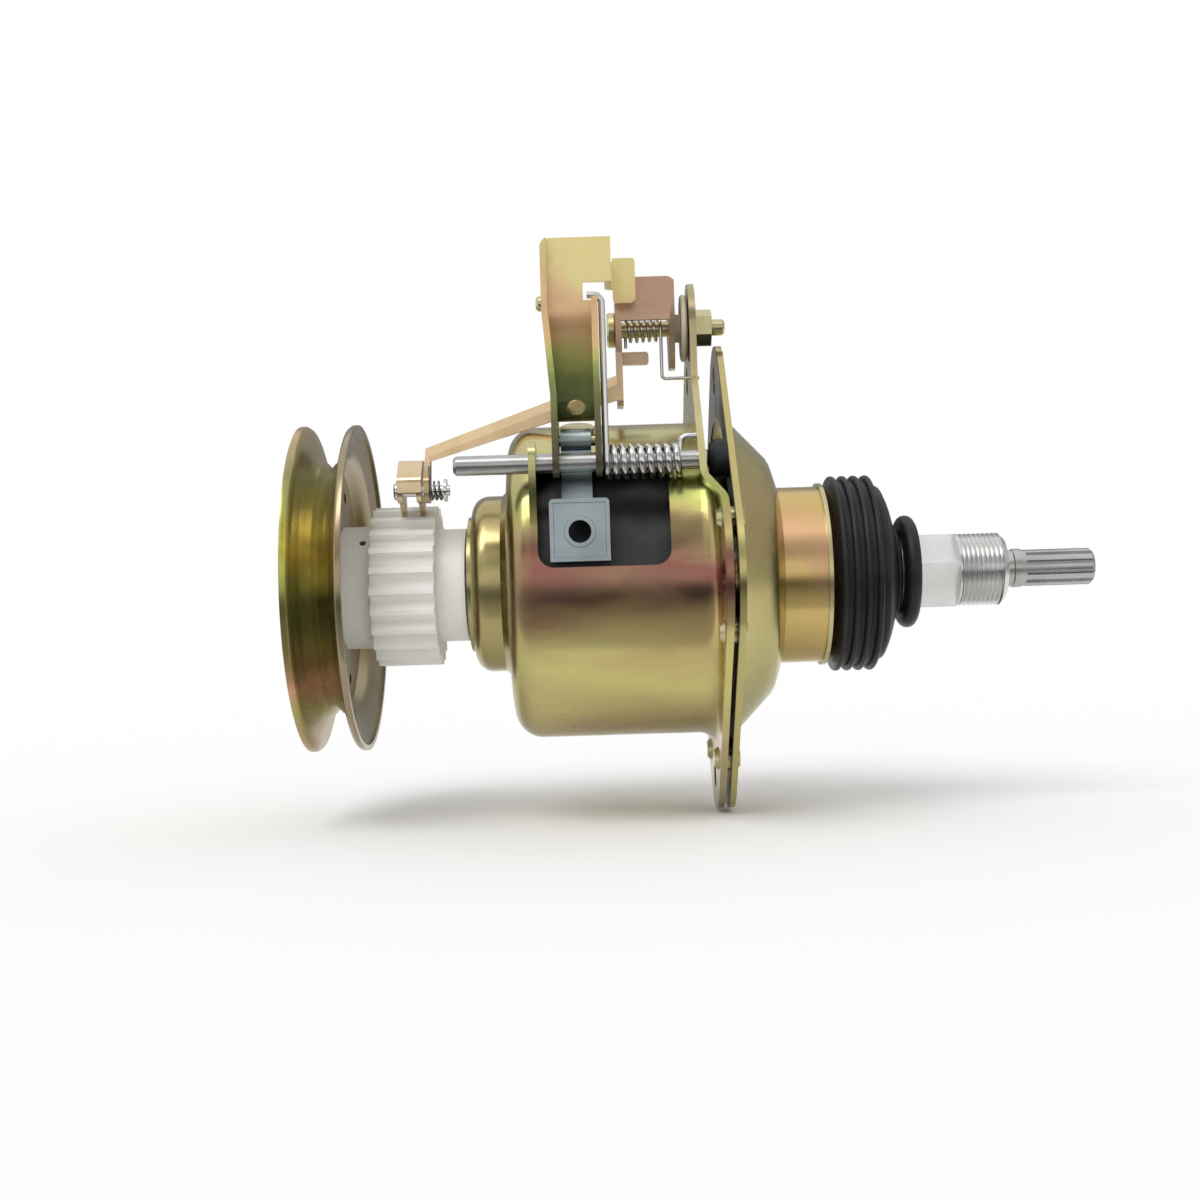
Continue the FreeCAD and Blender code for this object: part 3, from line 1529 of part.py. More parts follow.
def make_fork():
    """The pressed release fork: a stirrup on the bolt and a folded arm down to the pawl."""
    wall = s.lever_sheet
    web = prism("fork_web", "XZ_Plane", [
        (s.fork_left, s.fork_web_bottom),
        (s.fork_right, s.fork_web_bottom),
        (s.fork_right, s.fork_top, as_size(2.4)),
        (s.fork_left, s.fork_top, as_size(2.4)),
    ], s.fork_front, s.fork_front + wall)
    left = fork_wall("fork_left_wall", s.fork_left, [
        (s.fork_back - 2.4, s.fork_wall_bottom, as_size(4.0)),
        (s.arm_front_right, s.fork_wall_bottom, as_size(1.5)),
        (s.arm_front_right, s.fork_web_bottom - 9, as_size(3.0)),
    ])
    right = fork_wall("fork_right_wall", s.fork_right - wall, [
        (s.bolt_y + 2.5, s.fork_tip_z, as_size(1.5)),
        (s.bolt_y - 3.5, s.fork_tip_z, as_size(1.5)),
    ])
    lug = prism("fork_lug", "XZ_Plane", [
        (s.fork_left, s.lug_bottom),
        (s.lug_right, s.lug_bottom, as_size(1.0)),
        (s.lug_right, s.lug_top, as_size(1.0)),
        (s.fork_left, s.lug_top),
    ], s.fork_back - wall - 1.2, s.fork_back - 1.2)
    arm = fork_arm()
    ear = prism("arm_ear", "YZ_Plane", [
        (s.arm_front_left + s.arm_ridge_y, s.arm_high_left + s.arm_ridge_z),
        (s.arm_front_left, s.arm_high_left),
        (s.pawl_front, s.pawl_pin_z + 3, s.pawl_round),
        (s.pawl_front, s.pawl_pin_z - 3.6, s.pawl_round),
        (s.pawl_pin_y + 3.6, s.pawl_pin_z - 3.6, s.pawl_round),
        (s.arm_front_left + s.arm_ridge_y + 1.4, s.arm_low_left + 1),
    ], s.arm_left, s.arm_left + s.thin_sheet)
    whole = joined("fork_whole", web, left, right, lug, arm, ear)
    bolt = rod("fork_bolt_bore", s.bolt_radius + s.running_clearance, -60, PAST,
               (s.bolt_y, s.bolt_z))
    pin = rod("arm_pin_bore", s.pawl_pin_radius + s.seat_clearance, -120, -60,
              (s.pawl_pin_y, s.pawl_pin_z))
    keep(cut("fork_cut", whole, bolt, pin), "release_fork")


def fork_arm():
    """The folded arm, lofted from the stirrup's wall to its narrow end."""
    sections = []
    for name, x, front, low, high in (
        ("arm_root", s.fork_left, s.arm_front_right, s.arm_low_right, s.arm_high_right),
        ("arm_end", s.arm_left, s.arm_front_left, s.arm_low_left, s.arm_high_left),
    ):
        path = [
            (front, low),
            (front, high),
            (front + s.arm_ridge_y, high + s.arm_ridge_z),
        ]
        sketch = free_sketch("YZ_Plane", name)
        draw_outline(sketch, sheet_loop(path, s.lever_sheet, -1))
        bind(sketch, "Placement.Base.x", x)
        sections.append(sketch)
    loft = doc.addObject("Part::Loft", "fork_arm")
    loft.Sections = sections
    loft.Solid = True
    loft.Ruled = True
    return loft


# Pawl

pawl_right = s.pawl_left + s.pawl_width


def make_pawl():
    tip_y, tip_z = s.pawl_tip_y, s.pawl_tip_z
    outline = [
        (s.pawl_front, s.pawl_pin_z - 3.4, s.pawl_round),
        (s.pawl_front, s.pawl_pin_z + 3.4, s.pawl_round),
        (s.pawl_front + 6.4, s.pawl_top, s.pawl_round),
        (s.pawl_back, s.pawl_top, s.pawl_round),
        (s.pawl_back, s.pawl_pin_z + 3.2, as_size(1.5)),
        (tip_y - 1.6, s.pawl_pin_z - 0.6, as_size(1.5)),
        (tip_y, tip_z),
        (tip_y - s.pawl_tip_width, tip_z - s.pawl_tip_slope),
        (s.pawl_pin_y + 3.2, s.pawl_pin_z - 3.4, as_size(1.5)),
    ]
    block = prism("pawl_block", "YZ_Plane", outline, s.pawl_left, pawl_right)
    wall = s.thin_sheet
    inner = [
        (s.pawl_front - 2, 16),
        (s.pawl_front - 2, s.pawl_pin_z - 1),
        (s.pawl_front + wall, s.pawl_pin_z - 1),
        (s.pawl_front + wall, s.pawl_pin_z + 2.6),
        (s.pawl_front + 7.0, s.pawl_top - wall),
        (s.pawl_back + 2, s.pawl_top - wall),
        (s.pawl_back + 2, 16),
    ]
    space = prism("pawl_space", "YZ_Plane", inner, s.pawl_left + wall, pawl_right - wall)
    bore = rod("pawl_bore", s.pawl_pin_radius + s.running_clearance, -120, -60,
               (s.pawl_pin_y, s.pawl_pin_z))
    keep(cut("pawl_cut", block, space, bore), "pawl")
    head_right = s.pawl_left - s.seat_clearance * 5
    place = (s.pawl_pin_y, s.pawl_pin_z)
    keep(turned("pawl_pin", [
        (head_right - s.pawl_pin_head_height, 0),
        (head_right - s.pawl_pin_head_height, s.pawl_pin_head_radius, as_size(0.4)),
        (head_right, s.pawl_pin_head_radius),
        (head_right, s.pawl_pin_radius),
        (s.pawl_pin_right, s.pawl_pin_radius),
        (s.pawl_pin_right, 0),
    ], place), "pawl_pin")
    low = s.pawl_pin_right - 2 * s.clip_thickness
    corners = [
        (low, s.pawl_pin_radius + s.seat_clearance),
        (low + s.clip_thickness, s.pawl_pin_radius + s.seat_clearance),
        (low + s.clip_thickness, s.clip_radius),
        (low, s.clip_radius),
    ]
    keep(turned("pawl_clip", corners, place), "pawl_clip")


# Wound springs


def arc_between(start, knot, end):
    """The arc from start to end whose tangents meet at knot."""
    middle = (start + end) * 0.5
    lift = knot - middle
    half = start.distanceToPoint(end) / 2
    turn = math.atan2(lift.Length, half)
    peak = middle + lift.normalize() * (half * math.tan(turn / 2))
    return Part.Arc(start, peak, end).toShape()


def biarc(start, start_way, end, end_way):
    """Two arcs from start to end that leave and arrive along the given ways."""
    span = end - start
    both = start_way + end_way
    bend = 2 * (1 - start_way.dot(end_way))
    reach = (-span.dot(both) + math.sqrt(span.dot(both) ** 2 + bend * span.dot(span))) / bend
    first = start + start_way * reach
    second = end - end_way * reach
    joint = (first + second) * 0.5
    return [arc_between(start, first, joint), arc_between(joint, second, end)]


def coil_edges(centre, radius, left, pitch, turns, start_angle):
    """Quarter-turn biarcs of a coil along X, with its two ends and their directions."""

    def point(turn):
        angle = math.radians(start_angle + 360 * turn)
        across, along = radius * math.cos(angle), radius * math.sin(angle)
        return Vector(left + pitch * turn, centre[0] + across, centre[1] + along)

    def way(turn):
        angle = math.radians(start_angle + 360 * turn)
        round_speed = 2 * math.pi * radius
        across, along = -round_speed * math.sin(angle), round_speed * math.cos(angle)
        return Vector(pitch, across, along).normalize()

    edges = []
    quarters = int(round(turns * 4))
    for index in range(quarters):
        low, high = index / 4, (index + 1) / 4
        edges += biarc(point(low), way(low), point(high), way(high))
    return edges, (point(0), way(0)), (point(turns), way(turns))


def leg_edges(points, radius):
    """Straight runs through the points, with a tangent arc at every inner one."""
    edges = []
    here = points[0]
    for before, corner, after in zip(points, points[1:], points[2:]):
        back = (before - corner).normalize()
        ahead = (after - corner).normalize()
        reach = radius / math.tan(back.getAngle(ahead) / 2)
        entry, leave = corner + back * reach, corner + ahead * reach
        edges.append(Part.LineSegment(here, entry).toShape())
        edges.append(arc_between(entry, corner, leave))
        here = leave
    edges.append(Part.LineSegment(here, points[-1]).toShape())
    return edges


def wound(name, edges, wire_radius):
    """One unbroken wire along the edges."""
    path = Part.Wire(edges)
    first = edges[0]
    start = first.Vertexes[0].Point
    way = first.tangentAt(first.FirstParameter)
    across = way.cross(Vector(0.31, 0.57, 0.76)).normalize()
    aside = way.cross(across)
    rim = []
    for index in range(WIRE_SIDES + 1):
        angle = 2 * math.pi * (index + 0.5) / WIRE_SIDES
        spoke = across * math.cos(angle) + aside * math.sin(angle)
        rim.append(start + spoke * wire_radius)
    rim[-1] = rim[0]
    solid = path.makePipeShell([Part.makePolygon(rim)], True, False)
    if solid.Volume < 0:
        solid.reverse()
    feature = doc.addObject("Part::Feature", name)
    feature.Shape = solid
    feature.Placement = FreeCAD.Placement()
    keep(feature, name)
    return feature


def least_gap(name, radius, pitch, turns, wire_radius):
    """Prints the least gap between neighbouring turns, measured on points of the wire."""
    steps = 48
    points = []
    for index in range(int(turns * steps) + 1):
        angle = 2 * math.pi * index / steps
        place = Vector(pitch * index / steps, radius * math.cos(angle), radius * math.sin(angle))
        points.append(place)
    gap = min(
        first.distanceToPoint(second)
        for index, first in enumerate(points)
        for second in points[index + steps // 2:]
    )
    print(f"{name}: least gap between turns {gap - 2 * wire_radius:.2f} mm")


def make_lever_spring():
    """The strong torsion spring on the pivot pin: one leg runs up the lever's side and
    hooks into its notch, the other one is bent into the housing's ear."""
    centre = (s.pivot_y.value, s.pivot_z.value)
    radius, pitch = s.lever_coil_radius.value, s.lever_coil_pitch.value
    left, turns = s.lever_coil_left.value, s.lever_coil_turns.value
    edges, start, end = coil_edges(centre, radius, left, pitch, turns, 180)
    bend = start[0] - start[1] * LEG_RUN
    top = Vector(bend.x, bend.y, s.lever_leg_top.value)
    hook = Vector(s.lever_hook_end.value, top.y, top.z)
    first_leg = leg_edges([hook, top, bend, start[0]], LEG_BEND)
    rise = end[0] + end[1] * s.lever_leg_rise.value
    foot = Vector(ear_right.value, rise.y, rise.z)
    last_leg = leg_edges([end[0], rise, foot], LEG_BEND)
    wound("lever_spring", first_leg + edges + last_leg, s.lever_wire.value)
    least_gap("lever_spring", radius, pitch, turns, s.lever_wire.value)


def make_fork_spring():
    """The light torsion spring on the fork bolt, whose leg hooks into the housing's ear."""
    centre = (s.bolt_y.value, s.bolt_z.value)
    radius, pitch = s.fork_coil_radius.value, s.fork_coil_pitch.value
    left, turns = s.fork_coil_left.value, s.fork_coil_turns.value
    edges, start, end = coil_edges(centre, radius, left, pitch, turns, 0)
    drop = s.fork_leg_drop.value
    foot = end[0] + end[1] * ((end[0].z - (centre[1] - drop)) / -end[1].z)
    hook = Vector(ear_right.value + 1, foot.y, foot.z)
    last_leg = leg_edges([end[0], foot, hook], 1.2)
    first_leg = [Part.LineSegment(start[0] - start[1] * 5, start[0]).toShape()]
    wound("fork_spring", first_leg + edges + last_leg, s.fork_wire.value)
    least_gap("fork_spring", radius, pitch, turns, s.fork_wire.value)


def make_pawl_spring():
    """The small spring on the pawl's pin."""
    centre = (s.pawl_pin_y.value, s.pawl_pin_z.value)
    radius, pitch = s.pawl_coil_radius.value, s.pawl_coil_pitch.value
    left = (s.arm_left + s.thin_sheet).value + 0.75
    turns = s.pawl_coil_turns.value
    edges, start, end = coil_edges(centre, radius, left, pitch, turns, 180)
    leg = s.pawl_leg_length.value
    tail = start[0] - start[1] * leg
    first_leg = [Part.LineSegment(tail, start[0]).toShape()]
    wound("pawl_spring", first_leg + edges, s.pawl_wire.value)
    least_gap("pawl_spring", radius, pitch, turns, s.pawl_wire.value)


# Building and writing

make_lower_housing()
make_upper_housing()
make_flange_rivets()
make_bearings()
make_tub_seal()
make_drum()
make_spin_shaft()
make_bushes()
make_band()
make_gears()
make_input()
make_ratchet_wheel()
make_brake_lever()
make_band_clevis()
make_fork_bolt()
make_fork()
make_pawl()
make_lever_spring()
make_fork_spring()
make_pawl_spring()
doc.recompute()

faults = []
for thing in doc.Objects:
    if "Invalid" in thing.State or "Error" in thing.State:
        faults.append(f"{thing.Name} is {thing.State}")
for name, thing in pieces.items():
    if thing.Shape.isNull() or not thing.Shape.isValid():
        faults.append(f"{name} has no valid shape")
    elif not thing.Shape.Solids:
        faults.append(f"{name} has no solid")
if faults:
    raise RuntimeError("; ".join(faults))

os.makedirs(PARTS_FOLDER, exist_ok=True)
for name, thing in pieces.items():
    thing.Shape.exportStep(os.path.join(PARTS_FOLDER, f"{name}.step"))
print(f"{len(pieces)} sub-parts written")
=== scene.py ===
import json
import math

import bmesh
import bpy
from mathutils import Matrix, Vector

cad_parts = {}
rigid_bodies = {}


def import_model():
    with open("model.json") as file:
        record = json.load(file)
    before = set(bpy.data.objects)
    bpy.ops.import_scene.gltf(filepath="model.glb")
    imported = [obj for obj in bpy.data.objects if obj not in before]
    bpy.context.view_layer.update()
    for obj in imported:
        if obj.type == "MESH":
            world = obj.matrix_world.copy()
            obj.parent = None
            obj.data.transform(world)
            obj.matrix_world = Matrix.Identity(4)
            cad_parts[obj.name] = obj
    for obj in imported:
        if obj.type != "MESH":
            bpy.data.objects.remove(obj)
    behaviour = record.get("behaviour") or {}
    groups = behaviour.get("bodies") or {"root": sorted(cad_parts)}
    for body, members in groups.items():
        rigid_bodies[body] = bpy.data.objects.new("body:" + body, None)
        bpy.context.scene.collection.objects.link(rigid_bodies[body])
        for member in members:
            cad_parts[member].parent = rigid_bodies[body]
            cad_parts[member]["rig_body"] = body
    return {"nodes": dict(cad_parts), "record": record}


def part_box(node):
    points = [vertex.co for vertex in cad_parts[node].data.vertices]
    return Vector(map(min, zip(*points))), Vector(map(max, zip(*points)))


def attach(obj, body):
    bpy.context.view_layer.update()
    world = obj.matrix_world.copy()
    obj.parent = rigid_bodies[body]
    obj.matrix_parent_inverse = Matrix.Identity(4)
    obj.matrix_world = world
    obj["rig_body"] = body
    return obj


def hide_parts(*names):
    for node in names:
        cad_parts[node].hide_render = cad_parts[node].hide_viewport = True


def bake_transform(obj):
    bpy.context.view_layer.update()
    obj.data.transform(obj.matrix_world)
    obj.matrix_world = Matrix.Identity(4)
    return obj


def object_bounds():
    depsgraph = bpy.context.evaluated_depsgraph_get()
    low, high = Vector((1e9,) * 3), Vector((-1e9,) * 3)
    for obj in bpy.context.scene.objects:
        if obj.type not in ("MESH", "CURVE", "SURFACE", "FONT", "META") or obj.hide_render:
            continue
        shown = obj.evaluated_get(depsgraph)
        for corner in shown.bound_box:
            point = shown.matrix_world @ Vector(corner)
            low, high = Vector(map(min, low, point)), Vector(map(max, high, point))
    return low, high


# A washing machine clutch, dressed on its CAD frame.
# Lengths are in metres: X along the shafts, Z up to the brake lever, -Y to the camera.

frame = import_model()
cad_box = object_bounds()

MM = 0.001
SLOTS = {part["node"]: part["material_slot"] for part in frame["record"]["subparts"]}


# Places on the clutch


def middle(node):
    low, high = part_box(node)
    return (low + high) / 2


pivot = middle("lever_pivot_pin")
fork_bolt = middle("fork_bolt")
pawl_pin = middle("pawl_pin")
inner_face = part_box("upper_housing")[0].x
COLLAR_START = 15.6 * MM
CUP_START = -64 * MM
HUB_HOLE = (-108.9 * MM, -13.2 * MM, 13.1 * MM)


# The zinc's passivating films: each drifts from gold to patches of rose and green


def film(gold, rose, green, rose_amount, green_amount, patch_scale):
    """One film's values for the group film_colours."""
    return {"Gold": gold, "Rose": rose, "Green": green, "Rose Amount": rose_amount,
            "Green Amount": green_amount, "Patch Scale": patch_scale}


DOME_FILM = film(gold=(0.52, 0.45, 0.19), rose=(0.50, 0.36, 0.19), green=(0.38, 0.38, 0.15),
                 rose_amount=0.6, green_amount=0.6, patch_scale=22.0)
CAP_FILM = film(gold=(0.44, 0.37, 0.17), rose=(0.40, 0.27, 0.15), green=(0.32, 0.32, 0.12),
                rose_amount=0.6, green_amount=0.6, patch_scale=40.0)
COLLAR_FILM = film(gold=(0.62, 0.45, 0.17), rose=(0.68, 0.38, 0.25), green=(0.50, 0.42, 0.15),
                   rose_amount=0.9, green_amount=0.5, patch_scale=45.0)
# Partly the film's own colour and partly painted shade: the pulley's inner half is darkened
# as if in shade
SHADED_WEB_FILM = film(gold=(0.34, 0.29, 0.18), rose=(0.31, 0.21, 0.14), green=(0.24, 0.23, 0.12),
                rose_amount=0.8, green_amount=0.6, patch_scale=18.0)
SMALL_FILM = film(gold=(0.58, 0.53, 0.30), rose=(0.54, 0.40, 0.25), green=(0.42, 0.43, 0.22),
                  rose_amount=0.4, green_amount=0.4, patch_scale=60.0)
PAWL_FILM = film(gold=(0.70, 0.55, 0.36), rose=(0.72, 0.60, 0.50), green=(0.56, 0.44, 0.26),
                 rose_amount=0.9, green_amount=0.7, patch_scale=90.0)

# Bands of film colour with painted reflection and shade, from below: a height above the
# shafts' axis and the colour there

# The pulley: film colours with painted reflection bands, a bright glow just above the axis
# and dark bands below it
PULLEY_FILM_AND_REFLECTION_STOPS = (
    (-50 * MM, (0.44, 0.28, 0.17)),
    (-38 * MM, (0.40, 0.37, 0.12)),
    (-28 * MM, (0.58, 0.32, 0.20)),
    (-19 * MM, (0.26, 0.19, 0.07)),
    (-8 * MM, (0.24, 0.24, 0.08)),
    (2 * MM, (0.40, 0.40, 0.10)),
    (10 * MM, (0.80, 0.68, 0.12)),
    (20 * MM, (0.46, 0.44, 0.12)),
    (33 * MM, (0.28, 0.28, 0.12)),
    (48 * MM, (0.50, 0.38, 0.19)),
)
# The cup: film colours with painted reflection bands, darkest about the height of the axis
CUP_FILM_AND_REFLECTION_STOPS = (
    (-70 * MM, (0.34, 0.28, 0.18)),
    (-44 * MM, (0.52, 0.42, 0.22)),
    (-28 * MM, (0.64, 0.57, 0.23)),
    (-15 * MM, (0.50, 0.36, 0.17)),
    (-8 * MM, (0.34, 0.19, 0.13)),
    (2 * MM, (0.30, 0.13, 0.10)),
    (8 * MM, (0.42, 0.29, 0.16)),
    (14 * MM, (0.42, 0.36, 0.14)),
    (21 * MM, (0.34, 0.37, 0.11)),
    (30 * MM, (0.50, 0.48, 0.22)),
    (46 * MM, (0.60, 0.52, 0.28)),
    (70 * MM, (0.42, 0.36, 0.20)),
)
# The lever: film colours with painted shade, darkest at the lower end and lighter towards the
# top
LEVER_FILM_AND_SHADE_STOPS = (
    (34 * MM, (0.08, 0.07, 0.045)),
    (45 * MM, (0.14, 0.14, 0.06)),
    (54 * MM, (0.26, 0.30, 0.09)),
    (61 * MM, (0.46, 0.46, 0.14)),
    (69 * MM, (0.70, 0.47, 0.22)),
    (79 * MM, (0.68, 0.42, 0.24)),
    (90 * MM, (0.74, 0.63, 0.28)),
)
# The fork: film colours with a painted highlight along the arm, darker above and below it
FORK_FILM_AND_HIGHLIGHT_STOPS = (
    (30 * MM, (0.44, 0.32, 0.18)),
    (40 * MM, (0.72, 0.52, 0.32)),
    (46 * MM, (0.62, 0.47, 0.26)),
    (54 * MM, (0.66, 0.48, 0.29)),
    (66 * MM, (0.50, 0.36, 0.24)),
    (84 * MM, (0.47, 0.29, 0.20)),
)
# Painted shade for the upper housing's face between the two plates
PLATE_GAP_SHADE = (0.10, 0.08, 0.05)
# Painted shade standing for the dark inside of a small drilled hole
HUB_HOLE_SHADE = (0.03, 0.03, 0.03)


# Shader nodes


def feed(tree, socket, value):
    """Links another socket to this one, or gives it a plain number, vector or colour."""
    if isinstance(value, bpy.types.NodeSocket):
        tree.links.new(value, socket)
    elif socket.type == "RGBA":
        socket.default_value = (*value, 1.0)
    else:
        socket.default_value = value


def add_node(tree, kind, inputs, **settings):
    """A node with its settings made and its inputs fed."""
    node = tree.nodes.new(kind)
    for setting, value in settings.items():
        setattr(node, setting, value)
    for key, value in inputs.items():
        feed(tree, node.inputs[key], value)
    return node


def reckoned(tree, operation, *values):
    """What a Math node makes of its values."""
    inputs = dict(enumerate(values))
    return add_node(tree, "ShaderNodeMath", inputs, operation=operation).outputs[0]


def noise(tree, vector, scale, detail=3.0, rough=0.5):
    """A cloud of values from 0 to 1."""
    inputs = {"Vector": vector, "Scale": scale, "Detail": detail, "Roughness": rough}
    return add_node(tree, "ShaderNodeTexNoise", inputs).outputs["Fac"]


def spread(tree, value, low, high, to_low=0.0, to_high=1.0):
    """A value stretched from one range to another and clamped."""
    inputs = {"Value": value, "From Min": low, "From Max": high, "To Min": to_low,
              "To Max": to_high}
    return add_node(tree, "ShaderNodeMapRange", inputs).outputs["Result"]


def blended(tree, share, first, second):
    """Two colours mixed by a share, which is 0 for the first and 1 for the second."""
    inputs = {"Factor": share, 6: first, 7: second}
    return add_node(tree, "ShaderNodeMix", inputs, data_type="RGBA").outputs[2]


def stretched(tree, place, stretch):
    """The place scaled along each axis, so that patches run long or short."""
    inputs = {"Vector": place, "Scale": stretch}
    return add_node(tree, "ShaderNodeMapping", inputs).outputs["Vector"]


def axis_value(tree, place, axis):
    """The place's own measure along X, Y or Z."""
    return add_node(tree, "ShaderNodeSeparateXYZ", {0: place}).outputs[axis]


# Node groups

VECTOR, VALUE, COLOUR = "NodeSocketVector", "NodeSocketFloat", "NodeSocketColor"
GREEN_SHIFT = (3.1, 1.7, 5.3)
BROAD_GRAIN_SCALE = 45.0
FINE_GRAIN_SHARE = 0.12

# The span of a cloud's values that is stretched over the whole of an effect
PATCH_SPAN = (0.48, 0.68)
GRAIN_SPAN = (0.4, 0.75)
TONE_SPAN = (0.35, 0.7)
WAVER_SPAN = (0.3, 0.7)


def new_group(name, inputs, outputs):
    """A shader node group, the sockets that come in and the sockets that go out."""
    group = bpy.data.node_groups.new(name, "ShaderNodeTree")
    for way, sockets in (("INPUT", inputs), ("OUTPUT", outputs)):
        for socket, kind in sockets:
            group.interface.new_socket(socket, in_out=way, socket_type=kind)
    given = group.nodes.new("NodeGroupInput").outputs
    result = group.nodes.new("NodeGroupOutput").inputs
    return group, given, result


def make_film_group():
    """The colours of a passivating film, which drift from gold to rose and green."""
    group, given, result = new_group(
        "film_colours",
        [("Vector", VECTOR), ("Patch Scale", VALUE), ("Gold", COLOUR), ("Rose", COLOUR),
         ("Green", COLOUR), ("Rose Amount", VALUE), ("Green Amount", VALUE)],
        [("Color", COLOUR)],
    )
    shifted = add_node(group, "ShaderNodeVectorMath", {0: given["Vector"], 1: GREEN_SHIFT},
                       operation="ADD").outputs[0]
    colour = given["Gold"]
    for tint, vector in (("Rose", given["Vector"]), ("Green", shifted)):
        patches = spread(group, noise(group, vector, given["Patch Scale"]), *PATCH_SPAN)
        share = reckoned(group, "MULTIPLY", patches, given[f"{tint} Amount"])
        colour = blended(group, share, colour, given[tint])
    feed(group, result["Color"], colour)
    return group


def make_grain_group():
    """Fine uneven gloss and height, as rolled sheet and handling leave."""
    group, given, result = new_group(
        "surface_grain",
        [("Vector", VECTOR), ("Grain Scale", VALUE), ("Least Roughness", VALUE),
         ("Most Roughness", VALUE)],
        [("Roughness", VALUE), ("Height", VALUE)],
    )
    fine = noise(group, given["Vector"], given["Grain Scale"], detail=2.0)
    broad = noise(group, given["Vector"], BROAD_GRAIN_SCALE, detail=4.0)
    mixed = reckoned(group, "MULTIPLY_ADD", fine, FINE_GRAIN_SHARE, broad)
    gloss = spread(group, mixed, *GRAIN_SPAN, given["Least Roughness"],
                   given["Most Roughness"])
    feed(group, result["Roughness"], gloss)
    feed(group, result["Height"], fine)
    return group


def make_tone_group():
    """A tone that drifts in soft clouds from light to dark."""
    group, given, result = new_group(
        "drifting_tone",
        [("Vector", VECTOR), ("Cloud Scale", VALUE), ("Light", COLOUR), ("Dark", COLOUR)],
        [("Color", COLOUR)],
    )
    cloud = noise(group, given["Vector"], given["Cloud Scale"], detail=4.0)
    share = spread(group, cloud, *TONE_SPAN)
    feed(group, result["Color"], blended(group, share, given["Light"], given["Dark"]))
    return group


def make_height_group():
    """How far a place is on its way from a low to a high level, the levels wavering."""
    group, given, result = new_group(
        "wavering_height",
        [("Vector", VECTOR), ("Cloud Vector", VECTOR), ("Cloud Scale", VALUE),
         ("Waver", VALUE), ("Low", VALUE), ("High", VALUE)],
        [("Share", VALUE)],
    )
    cloud = noise(group, given["Cloud Vector"], given["Cloud Scale"], detail=4.0, rough=0.6)
    cloud = spread(group, cloud, *WAVER_SPAN, to_low=-1.0, to_high=1.0)
    height = axis_value(group, given["Vector"], "Z")
    height = reckoned(group, "MULTIPLY_ADD", cloud, given["Waver"], height)
    feed(group, result["Share"], spread(group, height, given["Low"], given["High"]))
    return group


def make_border_group():
    """A share that rises from 0 to 1 between two places along the shafts."""
    group, given, result = new_group(
        "border_across",
        [("Vector", VECTOR), ("Left", VALUE), ("Right", VALUE)],
        [("Share", VALUE)],
    )
    along = axis_value(group, given["Vector"], "X")
    feed(group, result["Share"], spread(group, along, given["Left"], given["Right"]))
    return group


film_group = make_film_group()
grain_group = make_grain_group()
tone_group = make_tone_group()
height_group = make_height_group()
border_group = make_border_group()


def placed(tree, group, place, inputs):
    """A group in a material, with the material's own values; returns what it puts out."""
    inputs = {"Vector": place, **inputs}
    return add_node(tree, "ShaderNodeGroup", inputs, node_tree=group).outputs


def film_colour(tree, place, recipe):
    """The drifting colour that a film's values give."""
    return placed(tree, film_group, place, recipe)["Color"]


def drifting_tone(tree, place, cloud_scale, light, dark):
    inputs = {"Cloud Scale": cloud_scale, "Light": light, "Dark": dark}
    return placed(tree, tone_group, place, inputs)["Color"]


def border(tree, place, left, right):
    """0 left of a border across the shafts, 1 right of it."""
    return placed(tree, border_group, place, {"Left": left, "Right": right})["Share"]


def film_and_light_bands(tree, place, stops, cloud_scale, waver, stretch=(1, 1, 1)):
    """Colours that follow each other with height, their borders wavering; they hold film
    colour with painted reflection and shade.
    """
    low, high = stops[0][0], stops[-1][0]
    inputs = {"Cloud Vector": stretched(tree, place, stretch), "Cloud Scale": cloud_scale,
              "Waver": waver, "Low": low, "High": high}
    share = placed(tree, height_group, place, inputs)["Share"]
    ramp = add_node(tree, "ShaderNodeValToRGB", {"Fac": share})
    marks = ramp.color_ramp.elements
    for index, (height, colour) in enumerate(stops):
        position = (height - low) / (high - low)
        mark = marks[index] if index < 2 else marks.new(position)
        mark.position = position
        mark.color = (*colour, 1.0)
    return ramp.outputs["Color"]


# Materials

# Each grain: its scale, its least and most roughness, and the strength of its bump
SHEET_GRAIN = (260.0, 0.2, 0.32, 0.002)
NYLON_GRAIN = (400.0, 0.34, 0.5, 0.05)
GRAIN_DEPTH = 0.1 * MM
METAL = {"Metallic": 1.0}
MILKY = {"Subsurface Weight": 0.3, "Subsurface Radius": (0.004, 0.0035, 0.003),
         "Subsurface Scale": 1.0}
METAL_CLOUD_SCALE = 60.0
SOLID_CLOUD_SCALE = 70.0


def add_grain(tree, shader, place, scale, least, most, bump):
    """Uneven gloss and a slight bump on a shader."""
    inputs = {"Grain Scale": scale, "Least Roughness": least, "Most Roughness": most}
    grain = placed(tree, grain_group, place, inputs)
    inputs = {"Strength": bump, "Distance": GRAIN_DEPTH, "Height": grain["Height"]}
    relief = add_node(tree, "ShaderNodeBump", inputs)
    feed(tree, shader.inputs["Roughness"], grain["Roughness"])
    feed(tree, shader.inputs["Normal"], relief.outputs["Normal"])


def new_material(name, plain, grain=None):
    """A material with plain values on its shader; its tree and its Object coordinates."""
    material = bpy.data.materials.new(name)
    material.use_nodes = True
    tree = material.node_tree
    shader = tree.nodes["Principled BSDF"]
    for socket, value in plain.items():
        feed(tree, shader.inputs[socket], value)
    place = tree.nodes.new("ShaderNodeTexCoord").outputs["Object"]
    if grain:
        add_grain(tree, shader, place, *grain)
    return material, tree, place


def painted(material, colour):
    """Links a colour to the material's shader."""
    tree = material.node_tree
    feed(tree, tree.nodes["Principled BSDF"].inputs["Base Color"], colour)
    return material


